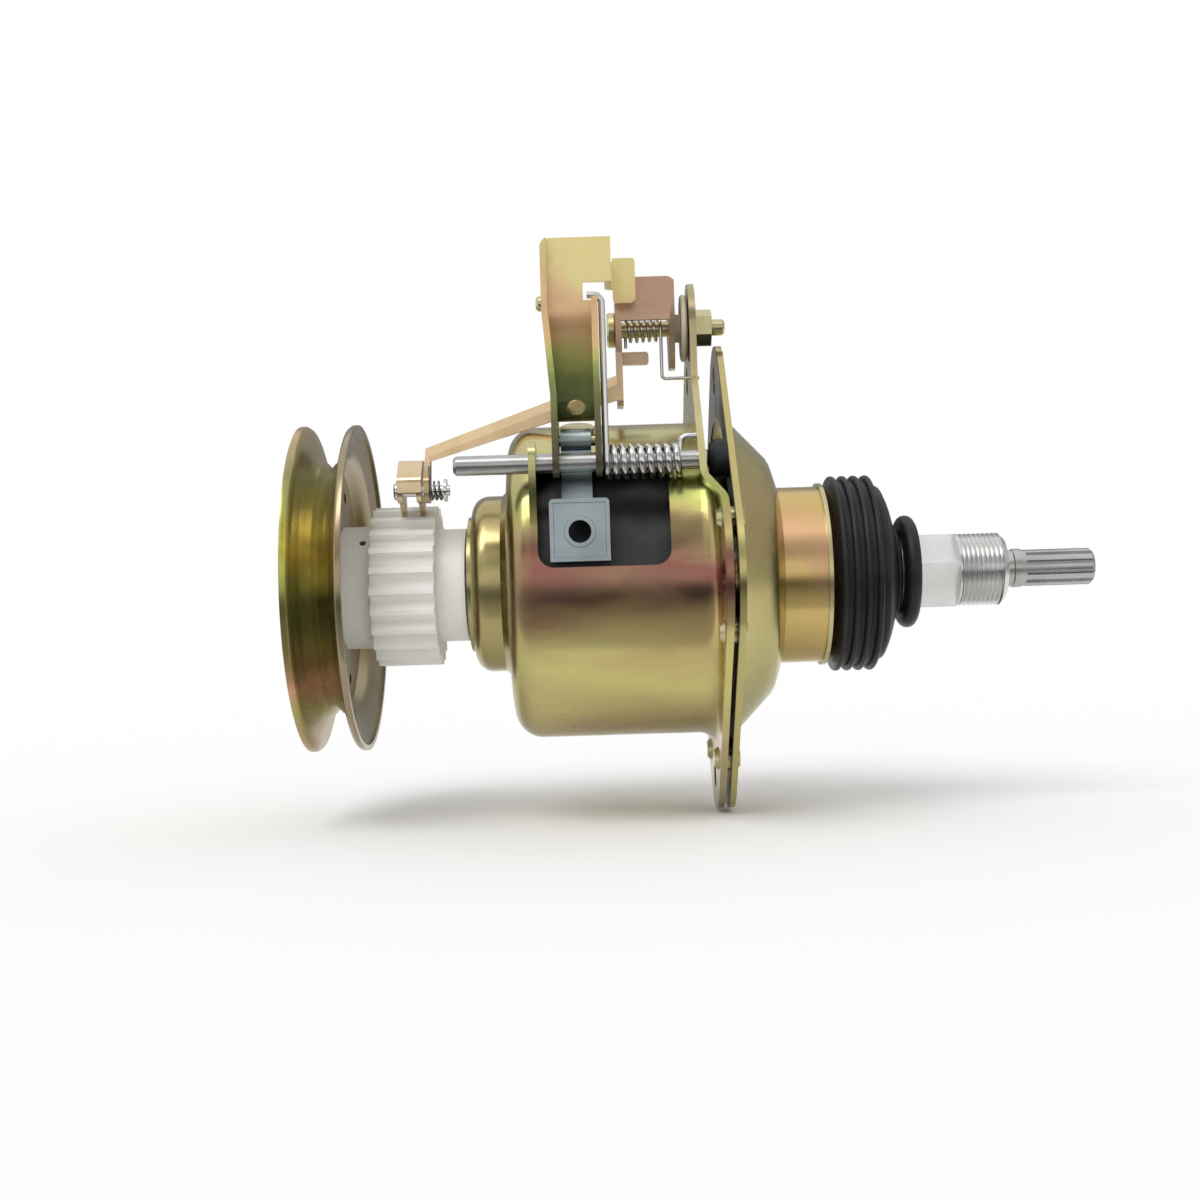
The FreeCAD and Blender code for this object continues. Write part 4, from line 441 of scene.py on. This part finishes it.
def film_zinc(name, recipe):
    """Passivated zinc on pressed sheet steel."""
    material, tree, place = new_material(name, METAL, SHEET_GRAIN)
    return painted(material, film_colour(tree, place, recipe))


def zinc_with_light_bands(name, metallic, stops, **bands):
    """Passivated zinc film with painted reflection and shade, in bands of colour one above
    the other.
    """
    material, tree, place = new_material(name, {"Metallic": metallic}, SHEET_GRAIN)
    return painted(material, film_and_light_bands(tree, place, stops, **bands))


def cup_zinc():
    """Bands of film colour and painted reflection on the cup, and a plainer gold on its cap.
    """
    material, tree, place = new_material("cup_zinc", METAL, SHEET_GRAIN)
    bands = film_and_light_bands(tree, place, CUP_FILM_AND_REFLECTION_STOPS, cloud_scale=34.0, waver=11 * MM,
                            stretch=(0.3, 1, 1))
    cap = film_colour(tree, place, CAP_FILM)
    past_cap = border(tree, place, CUP_START - 2 * MM, CUP_START + 7 * MM)
    return painted(material, blended(tree, past_cap, cap, bands))


def dome_zinc():
    """The dome's film: golden on the collar, with painted shade on the face towards the other
    plate.
    """
    material, tree, place = new_material("dome_zinc", METAL, SHEET_GRAIN)
    dome = film_colour(tree, stretched(tree, place, (1.5, 0.8, 0.8)), DOME_FILM)
    collar = film_colour(tree, place, COLLAR_FILM)
    on_collar = border(tree, place, COLLAR_START - MM, COLLAR_START)
    colour = blended(tree, on_collar, dome, collar)
    # Painted shade: the face between the plates is coloured dark
    outside_gap_shade = border(tree, place, inner_face + 0.1 * MM, inner_face + 0.3 * MM)
    return painted(material, blended(tree, outside_gap_shade, PLATE_GAP_SHADE, colour))


def plain_metal(name, light, dark, rough, bump=0.04, grain_scale=600.0):
    """Bare metal whose tone drifts a little; rough is its least and most roughness."""
    material, tree, place = new_material(name, METAL, (grain_scale, *rough, bump))
    return painted(material, drifting_tone(tree, place, METAL_CLOUD_SCALE, light, dark))


def plain_solid(name, light, dark, rough, bump=0.05, grain_scale=400.0, specular=0.5):
    """Plastic or rubber whose tone drifts a little; rough is its least and most roughness."""
    material, tree, place = new_material(name, {"Specular IOR Level": specular},
                                         (grain_scale, *rough, bump))
    return painted(material, drifting_tone(tree, place, SOLID_CLOUD_SCALE, light, dark))


def milky_nylon():
    """Natural nylon; a dark spot of painted shade stands for one small drilled hole on the
    hub.
    """
    material, tree, place = new_material("milky_nylon", MILKY, NYLON_GRAIN)
    colour = drifting_tone(tree, place, SOLID_CLOUD_SCALE, (0.93, 0.92, 0.88),
                           (0.87, 0.86, 0.80))
    away = add_node(tree, "ShaderNodeVectorMath", {0: place, 1: HUB_HOLE},
                    operation="DISTANCE").outputs["Value"]
    past_hole = spread(tree, away, 0.9 * MM, 1.1 * MM)
    # Painted shade: a dark spot where the drilled hole is
    return painted(material, blended(tree, past_hole, HUB_HOLE_SHADE, colour))


# By the record's material slot, or by a name of their own
MATERIALS = {
    "zinc_yellow": film_zinc("gold_zinc", SMALL_FILM),
    "pawl_zinc": film_zinc("pawl_zinc", PAWL_FILM),
    "web_zinc": film_zinc("web_zinc", SHADED_WEB_FILM),
    "cup_zinc": cup_zinc(),
    "dome_zinc": dome_zinc(),
    # The pulley, lever and fork carry painted reflection and shade in their bands
    "pulley_zinc": zinc_with_light_bands("pulley_zinc", 0.85, PULLEY_FILM_AND_REFLECTION_STOPS, cloud_scale=60.0,
                               waver=5 * MM, stretch=(0.6, 1, 1)),
    "lever_zinc": zinc_with_light_bands("lever_zinc", 0.5, LEVER_FILM_AND_SHADE_STOPS, cloud_scale=45.0,
                              waver=8 * MM),
    "fork_zinc": zinc_with_light_bands("fork_zinc", 0.6, FORK_FILM_AND_HIGHLIGHT_STOPS, cloud_scale=90.0,
                             waver=8 * MM),
    "zinc_blue": plain_metal("clear_zinc", (0.42, 0.48, 0.50), (0.32, 0.38, 0.40),
                             rough=(0.28, 0.42)),
    "bright_steel": plain_metal("polished_steel", (0.74, 0.74, 0.74), (0.62, 0.62, 0.62),
                                rough=(0.12, 0.24)),
    "turned_steel": plain_metal("turned_steel", (0.74, 0.74, 0.73), (0.62, 0.62, 0.61),
                                rough=(0.18, 0.3), bump=0.02, grain_scale=300.0),
    "satin_steel": plain_metal("satin_steel", (0.52, 0.52, 0.51), (0.40, 0.40, 0.39),
                               rough=(0.24, 0.36), bump=0.02, grain_scale=300.0),
    "dark_steel": plain_metal("dark_steel", (0.07, 0.07, 0.07), (0.04, 0.04, 0.04),
                              rough=(0.35, 0.5)),
    "spring_dark": plain_metal("dark_spring_steel", (0.25, 0.25, 0.25), (0.16, 0.16, 0.16),
                               rough=(0.22, 0.35)),
    "bush_bronze": plain_metal("sintered_bronze", (0.55, 0.38, 0.20), (0.46, 0.31, 0.16),
                               rough=(0.35, 0.5)),
    "nylon": milky_nylon(),
    "cream_plastic": plain_solid("cream_plastic", (0.66, 0.60, 0.45), (0.58, 0.52, 0.38),
                                 rough=(0.35, 0.5)),
    "black_rubber": plain_solid("black_rubber", (0.008, 0.009, 0.010),
                                (0.016, 0.017, 0.018), rough=(0.34, 0.5), bump=0.12,
                                specular=0.3),
    "lining_brown": plain_solid("friction_lining", (0.16, 0.12, 0.09), (0.09, 0.07, 0.05),
                                rough=(0.75, 0.9), bump=0.4, grain_scale=1500.0),
}


# Meshes

SHARP_ANGLE = math.radians(38)
FLAT_ANGLE = math.radians(0.6)
ROUNDED_ANGLE = math.radians(40)
CAD_WELD = 0.002 * MM
SEAM_WELD = 0.001 * MM
THREAD_WELD = 0.005 * MM
HOOP_PLAY_ACROSS = 0.01 * MM
HOOP_PLAY_ALONG = 0.001 * MM
CUT_GAP = 1e-7
ABOUT_SHAFTS = {"cent": (0, 0, 0), "axis": (1, 0, 0)}
COIL_STEPS = 28
COIL_STEPS_SQUARE = 30
EDGE_SEGMENTS = 2
HOOP_SEGMENTS = 4


def shown(name, mesh, material):
    """Turns a bmesh into an object of the scene, with its place in its mesh."""
    data = bpy.data.meshes.new(name)
    mesh.to_mesh(data)
    mesh.free()
    data.materials.append(material)
    thing = bpy.data.objects.new(name, data)
    bpy.context.scene.collection.objects.link(thing)
    return thing


def stand_in(node, ending, mesh, material=None, rides=True):
    """Turns a bmesh into a smooth piece that stands for a node and rides on its body."""
    for edge in mesh.edges:
        if len(edge.link_faces) == 2:
            edge.smooth = edge.calc_face_angle(0.0) < SHARP_ANGLE
    for face in mesh.faces:
        face.smooth = True
    slot = SLOTS[node]
    piece = shown(f"{node}_{ending}", mesh, MATERIALS[material or slot])
    if rides:
        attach(piece, frame["nodes"][node]["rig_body"])
    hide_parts(node)
    return piece


def merged_copy(node):
    """The node's own surface with its loose triangles joined."""
    mesh = bmesh.new()
    mesh.from_mesh(frame["nodes"][node].data)
    bmesh.ops.remove_doubles(mesh, verts=mesh.verts, dist=CAD_WELD)
    return mesh


def turned_reach(node):
    """Left end, right end and outer radius of a piece that is turned about the shafts."""
    low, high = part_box(node)
    return low.x, high.x, (high.y - low.y) / 2


def new_verts(geometry):
    return [item for item in geometry if isinstance(item, bmesh.types.BMVert)]


def new_edges(geometry):
    return [item for item in geometry if isinstance(item, bmesh.types.BMEdge)]


def cut_across(mesh, x, sense=1, clear_outer=False):
    """Cuts a mesh across the shafts; can clear what lies past the cut, on sense's side."""
    bmesh.ops.bisect_plane(mesh, geom=mesh.verts[:] + mesh.edges[:] + mesh.faces[:],
                           dist=CUT_GAP, plane_co=(x, 0, 0), plane_no=(sense, 0, 0),
                           clear_outer=clear_outer)


def dressed(node, material=None, rounding=0.0):
    """The node's form with smooth curves and, if asked, lightly rounded edges."""
    mesh = merged_copy(node)
    if rounding:
        bmesh.ops.dissolve_limit(mesh, angle_limit=FLAT_ANGLE, verts=mesh.verts,
                                 edges=mesh.edges, delimit=set())
    piece = stand_in(node, "form", mesh, material)
    if rounding:
        bevel = piece.modifiers.new("edge_rounding", "BEVEL")
        bevel.width = rounding
        bevel.segments = EDGE_SEGMENTS
        bevel.limit_method = "ANGLE"
        bevel.angle_limit = ROUNDED_ANGLE
        bevel.use_clamp_overlap = True
        bevel.harden_normals = True


def on_hoop(edge, x, radius):
    """Whether an edge lies on the circle at x with that radius."""
    for vert in edge.verts:
        away = math.hypot(vert.co.y, vert.co.z) - radius
        if abs(vert.co.x - x) >= HOOP_PLAY_ALONG or abs(away) >= HOOP_PLAY_ACROSS:
            return False
    return True


def spun(profile, steps=96, roundings=()):
    """A closed profile of (x, radius) points spun about the shafts, its hoops rounded."""
    mesh = bmesh.new()
    verts = [mesh.verts.new((x, 0, radius)) for x, radius in profile]
    edges = [mesh.edges.new((verts[i - 1], verts[i])) for i in range(len(verts))]
    bmesh.ops.spin(mesh, geom=verts + edges, **ABOUT_SHAFTS, dvec=(0, 0, 0),
                   angle=2 * math.pi, steps=steps, use_merge=True)
    bmesh.ops.remove_doubles(mesh, verts=mesh.verts, dist=SEAM_WELD)
    bmesh.ops.recalc_face_normals(mesh, faces=mesh.faces)
    for (x, radius), width in roundings:
        hoop = [edge for edge in mesh.edges if on_hoop(edge, x, radius)]
        bmesh.ops.bevel(mesh, geom=hoop, offset=width, offset_type="OFFSET",
                        segments=HOOP_SEGMENTS, profile=0.5, affect="EDGES", material=-1)
    return mesh


class Wire:
    """A round wire that grows from its first ring by straight runs, bends and coils."""

    def __init__(self, start, way, radius, sides=14):
        self.mesh = bmesh.new()
        self.place = Vector(start)
        self.way = Vector(way).normalized()
        turn = self.way.to_track_quat("Z", "Y").to_matrix().to_4x4()
        bmesh.ops.create_circle(self.mesh, cap_ends=True, segments=sides, radius=radius,
                                matrix=Matrix.Translation(self.place) @ turn)
        self.rim = self.mesh.edges[:]

    def run(self, length):
        """A straight stretch."""
        grown = bmesh.ops.extrude_edge_only(self.mesh, edges=self.rim)["geom"]
        bmesh.ops.translate(self.mesh, verts=new_verts(grown), vec=self.way * length)
        self.place = self.place + self.way * length
        self.rim = new_edges(grown)

    def turn(self, centre, axis, angle, steps, rise=0.0):
        """A bend or coil about an axis through centre, moving along the axis as it turns."""
        axis = Vector(axis).normalized()
        verts = list(dict.fromkeys(vert for edge in self.rim for vert in edge.verts))
        step = axis * (rise / steps)
        grown = bmesh.ops.spin(self.mesh, geom=verts + self.rim, cent=centre, axis=axis,
                               dvec=step, angle=angle, steps=steps, use_merge=False)
        spin = Matrix.Rotation(angle, 3, axis)
        self.place = Vector(centre) + spin @ (self.place - Vector(centre)) + axis * rise
        self.way = spin @ self.way
        self.rim = new_edges(grown["geom_last"])

    def bend(self, towards, radius, steps=8):
        """A bend from the present way to another way."""
        towards = Vector(towards).normalized()
        centre = self.place + towards * radius
        self.turn(centre, self.way.cross(towards), self.way.angle(towards), steps)
        self.way = towards

    def coil(self, centre, turns, rise):
        """Turns about an axis along X, moving to the right by rise in all."""
        self.turn(centre, (1, 0, 0), 2 * math.pi * turns, round(turns * COIL_STEPS), rise)

    def close(self):
        bmesh.ops.edgeloop_fill(self.mesh, edges=self.rim)
        bmesh.ops.recalc_face_normals(self.mesh, faces=self.mesh.faces)
        return self.mesh


def make_lever_spring():
    """The strong spring: a leg down the lever's side, its coil, and a leg into the ear."""
    low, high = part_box("lever_spring")
    radius = 0.95 * MM
    coil_radius = 4.2 * MM
    bend_radius = 2.2 * MM
    turns = 8.5
    left_x = -35.9 * MM
    right_x = -14.8 * MM
    ear_leg = 7 * MM
    left = (left_x, pivot.y, pivot.z)
    top = high.z - radius
    wire = Wire((low.x, pivot.y - coil_radius, top), (1, 0, 0), radius)
    wire.run(left_x - low.x - bend_radius)
    wire.bend((0, 0, -1), bend_radius)
    wire.run(top - bend_radius - pivot.z)
    wire.coil(left, turns, right_x - left_x)
    wire.run(ear_leg - bend_radius)
    wire.bend((1, 0, 0), bend_radius)
    wire.run(high.x - wire.place.x)
    piece = stand_in("lever_spring", "wire", wire.close(), rides=False)
    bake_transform(piece)


def make_fork_spring():
    """The light spring round the fork bolt: a free tail, its coil, and a leg into the ear."""
    low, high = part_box("fork_spring")
    radius = 0.5 * MM
    coil_radius = 3.45 * MM
    bend_radius = 1.2 * MM
    turns = 5.5
    left_x = -28.7 * MM
    right_x = -18.25 * MM
    tail = 5 * MM
    drop = fork_bolt.z - low.z - radius
    left = (left_x, fork_bolt.y, fork_bolt.z)
    wire = Wire((left_x, fork_bolt.y + coil_radius, fork_bolt.z - tail), (0, 0, 1), radius)
    wire.run(tail)
    wire.coil(left, turns, right_x - left_x)
    wire.run(drop - bend_radius)
    wire.bend((1, 0, 0), bend_radius)
    wire.run(high.x - wire.place.x)
    piece = stand_in("fork_spring", "wire", wire.close(), rides=False)
    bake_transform(piece)


def make_pawl_spring():
    """The small coil on the pawl pin, with one leg."""
    low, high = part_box("pawl_spring")
    radius = 0.35 * MM
    coil_radius = 2.6 * MM
    turns = 2.5
    leg = 7 * MM
    left_x = low.x + radius
    start = (left_x, pawl_pin.y - coil_radius, pawl_pin.z + leg)
    wire = Wire(start, (0, 0, -1), radius, sides=10)
    wire.run(leg)
    wire.coil((left_x, pawl_pin.y, pawl_pin.z), turns, high.x - radius - left_x)
    stand_in("pawl_spring", "wire", wire.close(), "spring_dark")


def add_leg(mesh, end, way, length):
    """A short leg that stands out along the axis from the end of a square wire."""
    end_facing = 0.9
    sides = [face for face in mesh.faces if face.normal.x * way > end_facing]
    side = min(sides, key=lambda face: (face.calc_center_median() - end).length)
    grown = bmesh.ops.extrude_face_region(mesh, geom=[side])["geom"]
    bmesh.ops.translate(mesh, verts=new_verts(grown), vec=(way * length, 0, 0))


def make_clutch_spring():
    """The wrap spring of square wire on the two clutch sleeves, with a leg at each end."""
    left, right, outer = turned_reach("clutch_spring")
    wire_size = 1.4 * MM
    leg = 1.6 * MM
    turns = 17
    steps = turns * COIL_STEPS_SQUARE
    inner = outer - wire_size
    start = left + leg
    length = right - left - 2 * leg
    mesh = bmesh.new()
    corners = ((0, inner), (wire_size, inner), (wire_size, outer), (0, outer))
    mesh.faces.new([mesh.verts.new((start + x, 0, radius)) for x, radius in corners])
    bmesh.ops.spin(mesh, geom=mesh.faces[:], **ABOUT_SHAFTS,
                   dvec=((length - wire_size) / steps, 0, 0), angle=2 * math.pi * turns,
                   steps=steps, use_merge=False)
    bmesh.ops.recalc_face_normals(mesh, faces=mesh.faces)
    for x, way in ((start, -1), (start + length, 1)):
        add_leg(mesh, Vector((x, 0, outer - wire_size / 2)), way, leg)
    stand_in("clutch_spring", "wire", mesh)


def make_tub_seal():
    """The ribbed rubber seal with rounded ribs and a soft neck."""
    left, right, outer = turned_reach("tub_seal")
    pitch = 3.45 * MM
    ribs = 4
    half_groove = 0.8 * MM
    groove = outer - 1.7 * MM
    rib_rounding = 0.85 * MM
    skirt = 26.6 * MM
    neck = 12.9 * MM
    hollow = 21.6 * MM
    bore = 11.36 * MM
    lip = outer - 4 * MM
    profile = [(left, lip)]
    roundings = []
    for index in range(ribs):
        rib_left = left + pitch * index + half_groove
        rib_right = left + pitch * (index + 1) - half_groove
        profile += [(rib_left, groove), (rib_left, outer), (rib_right, outer),
                    (rib_right, groove)]
        roundings += [((rib_left, outer), rib_rounding), ((rib_right, outer), rib_rounding)]
    shoulder = left + ribs * pitch
    # The rest of the outline: x, radius and rounding
    outline = (
        (shoulder, skirt, 0),
        (shoulder + 1.6 * MM, skirt, 1.1 * MM),
        (shoulder + 3.5 * MM, 22.5 * MM, 1.4 * MM),
        (shoulder + 5.9 * MM, 14.6 * MM, 0.9 * MM),
        (shoulder + 5.9 * MM, neck, 0),
        (right, neck, 0.5 * MM),
        (right, bore, 0),
        (shoulder + 4.4 * MM, bore, 0),
        (shoulder + 1.6 * MM, hollow, 0),
        (left, hollow, 0),
    )
    profile += [(x, radius) for x, radius, width in outline]
    roundings += [((x, radius), width) for x, radius, width in outline if width]
    stand_in("tub_seal", "rubber", spun(profile, steps=120, roundings=roundings))


def make_shaft_ring():
    """The rubber ring that turns with the spin shaft."""
    left, right, outer = turned_reach("shaft_ring")
    bore = 11.32 * MM
    rounding_share = 0.48
    rounding = (right - left) * rounding_share
    profile = [(left, bore), (left, outer), (right, outer), (right, bore)]
    mesh = spun(profile, roundings=[((left, outer), rounding), ((right, outer), rounding)])
    stand_in("shaft_ring", "rubber", mesh)


def make_band_clevis():
    """The band's end fitting, its plate pressed in a little inside a flat rim."""
    front_facing = -0.99
    front_depth = 0.05 * MM
    rim = (1.1 * MM, 0.0)
    step = (0.15 * MM, -0.35 * MM)
    mesh = merged_copy("band_clevis")
    front = min(face.calc_center_median().y for face in mesh.faces)
    plate = [face for face in mesh.faces if face.normal.y < front_facing
             and face.calc_center_median().y < front + front_depth]
    for inset, depth in (rim, step):
        bmesh.ops.inset_region(mesh, faces=plate, use_boundary=True, use_even_offset=True,
                               thickness=inset, depth=depth)
    bmesh.ops.recalc_face_normals(mesh, faces=mesh.faces)
    stand_in("band_clevis", "pressed", mesh)


def screw_thread(left, right, crest, depth, pitch):
    """One ridge wound about the shafts and cut flush at both ends, as mesh data."""
    steps = 72
    flank_share = 0.44
    spare_turns = 3
    ridge = bmesh.new()
    verts = []
    for index in range(int((right - left) / pitch) + spare_turns):
        x = left + pitch * (index - spare_turns / 2)
        verts.append(ridge.verts.new((x, 0, crest - depth)))
        verts.append(ridge.verts.new((x + pitch * flank_share, 0, crest)))
        verts.append(ridge.verts.new((x + pitch * (1 - flank_share), 0, crest)))
    edges = [ridge.edges.new(pair) for pair in zip(verts, verts[1:])]
    bmesh.ops.spin(ridge, geom=verts + edges, **ABOUT_SHAFTS, dvec=(pitch / steps, 0, 0),
                   angle=2 * math.pi, steps=steps, use_merge=False)
    bmesh.ops.remove_doubles(ridge, verts=ridge.verts, dist=THREAD_WELD)
    cut_across(ridge, left, -1, clear_outer=True)
    cut_across(ridge, right, 1, clear_outer=True)
    bmesh.ops.recalc_face_normals(ridge, faces=ridge.faces)
    outward = sum(face.normal.dot(face.calc_center_median() * Vector((0, 1, 1)))
                  for face in ridge.faces)
    if outward < 0:
        bmesh.ops.reverse_faces(ridge, faces=ridge.faces)
    data = bpy.data.meshes.new("thread")
    ridge.to_mesh(data)
    ridge.free()
    return data


def make_spin_shaft():
    """The spin shaft with its nose cut as a real screw thread."""
    thread_left = 70.1 * MM
    thread_right = 82.6 * MM
    crest = 11.0 * MM
    depth = 0.75 * MM
    pitch = 1.4 * MM
    plain_wall = crest - 0.6 * MM
    mesh = merged_copy("spin_shaft")
    cut_across(mesh, thread_left)
    cut_across(mesh, thread_right)
    sleeve = []
    for face in mesh.faces:
        centre = face.calc_center_median()
        outside = math.hypot(centre.y, centre.z) > plain_wall
        if thread_left < centre.x < thread_right and outside:
            sleeve.append(face)
    bmesh.ops.delete(mesh, geom=sleeve, context="FACES")
    mesh.from_mesh(screw_thread(thread_left, thread_right, crest, depth, pitch))
    stand_in("spin_shaft", "threaded", mesh, "turned_steel")


# The clutch's pieces

ROUNDED = {
    "brake_lever": ("lever_zinc", 0.25 * MM),
    "release_fork": ("fork_zinc", 0.25 * MM),
    "pawl": ("pawl_zinc", 0.2 * MM),
    "ratchet_wheel": ("nylon", 0.25 * MM),
    "fork_nut": ("zinc_yellow", 0.2 * MM),
    "pulley_nut": ("zinc_blue", 0.3 * MM),
}
SMOOTH = {
    "lower_housing": "cup_zinc",
    "upper_housing": "dome_zinc",
    "pulley_outer_half": "pulley_zinc",
    "pulley_inner_half": "web_zinc",
    "pulsator_shaft": "satin_steel",
    "lever_pivot_pin": "satin_steel",
}
SHAPED = {
    "lever_spring": make_lever_spring,
    "fork_spring": make_fork_spring,
    "pawl_spring": make_pawl_spring,
    "clutch_spring": make_clutch_spring,
    "tub_seal": make_tub_seal,
    "shaft_ring": make_shaft_ring,
    "spin_shaft": make_spin_shaft,
    "band_clevis": make_band_clevis,
}

for node, (material, rounding) in ROUNDED.items():
    dressed(node, material, rounding)
for node in frame["nodes"]:
    if node not in ROUNDED and node not in SHAPED:
        dressed(node, SMOOTH.get(node))
for make in SHAPED.values():
    make()


# Studio

FLOOR_SIZE = 6.0
FLOOR_GAP = 1 * MM
FLOOR_GREY = 0.97
CARD_CORE = 0.6
SUN_STRENGTH = 1.15
SUN_ANGLE = math.radians(40)
SUN_WAY = Vector((0.4, 0.6, -0.9))
ROOM_LIGHT = 0.74
PHOTO_SIZE = 1200
PIXELS_PER_MM = 3.27
CAMERA_DISTANCE = 0.5
CAMERA_X = -38.8 * MM
CAMERA_Z = -5.9 * MM
CAMERA_ROLL = math.radians(1.74)
NEAREST_SEEN = 0.01


def studio_material(name, grey):
    """A matt grey without gloss; its tree and its Object coordinates."""
    plain = {"Base Color": (grey,) * 3, "Roughness": 1.0, "Specular IOR Level": 0.0}
    return new_material(name, plain)


def make_floor():
    mesh = bmesh.new()
    level = Matrix.Translation((0, 0, cad_box[0].z - FLOOR_GAP))
    bmesh.ops.create_grid(mesh, x_segments=1, y_segments=1, size=FLOOR_SIZE, matrix=level)
    material, _, _ = studio_material("white_floor", FLOOR_GREY)
    shown("studio_floor", mesh, material)


def fading_grey(tree, place, middle_y, half_depth, grey, rim_grey):
    """A lying card's grey, lighter towards its near and far edges for soft reflections."""
    away = reckoned(tree, "SUBTRACT", axis_value(tree, place, "Y"), middle_y)
    away = reckoned(tree, "ABSOLUTE", away)
    share = spread(tree, away, half_depth * CARD_CORE, half_depth)
    return blended(tree, share, (grey,) * 3, (rim_grey,) * 3)


def make_card(name, centre, width, height, grey, tilt=90, heading=0, rim_grey=None):
    """A card that only reflections see, as a studio sets beside bright metal."""
    facing = Matrix.Rotation(math.radians(heading), 4, "Z")
    turn = Matrix.Translation(centre) @ facing @ Matrix.Rotation(math.radians(tilt), 4, "X")
    mesh = bmesh.new()
    bmesh.ops.create_grid(mesh, x_segments=1, y_segments=1, size=0.5,
                          matrix=turn @ Matrix.Diagonal((width, height, 1, 1)))
    material, tree, place = studio_material(f"{name}_grey", grey)
    if rim_grey is not None:
        painted(material, fading_grey(tree, place, centre[1], height / 2, grey, rim_grey))
    card = shown(name, mesh, material)
    card.visible_camera = False
    card.visible_diffuse = False
    card.visible_shadow = False


def make_sun():
    """A soft, even key light from above and to the left of the camera."""
    lamp = bpy.data.lights.new("key_sun", "SUN")
    lamp.energy = SUN_STRENGTH
    lamp.angle = SUN_ANGLE
    sun = bpy.data.objects.new("key_sun", lamp)
    sun.rotation_euler = SUN_WAY.to_track_quat("-Z", "Y").to_euler()
    bpy.context.scene.collection.objects.link(sun)


def make_world():
    """White where the camera and reflections look, softer as a lamp."""
    world = bpy.data.worlds.new("studio")
    bpy.context.scene.world = world
    world.use_nodes = True
    tree = world.node_tree
    path = tree.nodes.new("ShaderNodeLightPath").outputs
    seen = path["Is Camera Ray"]
    for kind in ("Is Glossy Ray", "Is Transmission Ray"):
        seen = reckoned(tree, "MAXIMUM", seen, path[kind])
    background = tree.nodes["Background"]
    feed(tree, background.inputs["Color"], (1, 1, 1))
    feed(tree, background.inputs["Strength"], spread(tree, seen, 0.0, 1.0, ROOM_LIGHT, 1.0))


def make_camera():
    """The photograph's view: level, half a metre away, rolled a little."""
    data = bpy.data.cameras.new("photo_camera")
    data.sensor_fit = "HORIZONTAL"
    half_view = PHOTO_SIZE / 2 / (PIXELS_PER_MM * CAMERA_DISTANCE / MM)
    data.angle = 2 * math.atan(half_view)
    data.clip_start = NEAREST_SEEN
    camera = bpy.data.objects.new("photo_camera", data)
    right = Vector((math.cos(CAMERA_ROLL), 0, -math.sin(CAMERA_ROLL)))
    up = Vector((math.sin(CAMERA_ROLL), 0, math.cos(CAMERA_ROLL)))
    turn = Matrix((right, up, right.cross(up))).transposed().to_4x4()
    camera.matrix_world = Matrix.Translation((CAMERA_X, -CAMERA_DISTANCE, CAMERA_Z)) @ turn
    bpy.context.scene.collection.objects.link(camera)
    bpy.context.scene.camera = camera


make_floor()
make_card("low_card", (-0.02, -0.58, cad_box[0].z + 4 * MM), width=1.6, height=1.0,
          grey=0.04, tilt=0, rim_grey=0.55)
make_card("back_card", (0, 0.9, -0.05), width=4.0, height=1.6, grey=0.35)
make_card("right_card", (1.1, 0.2, 0.1), width=1.6, height=1.6, grey=0.55, heading=-90)
make_card("high_card", (0, -1.1, 0.85), width=3.0, height=0.9, grey=0.5)
make_sun()
make_world()
make_camera()

bpy.context.scene.view_settings.view_transform = "Standard"
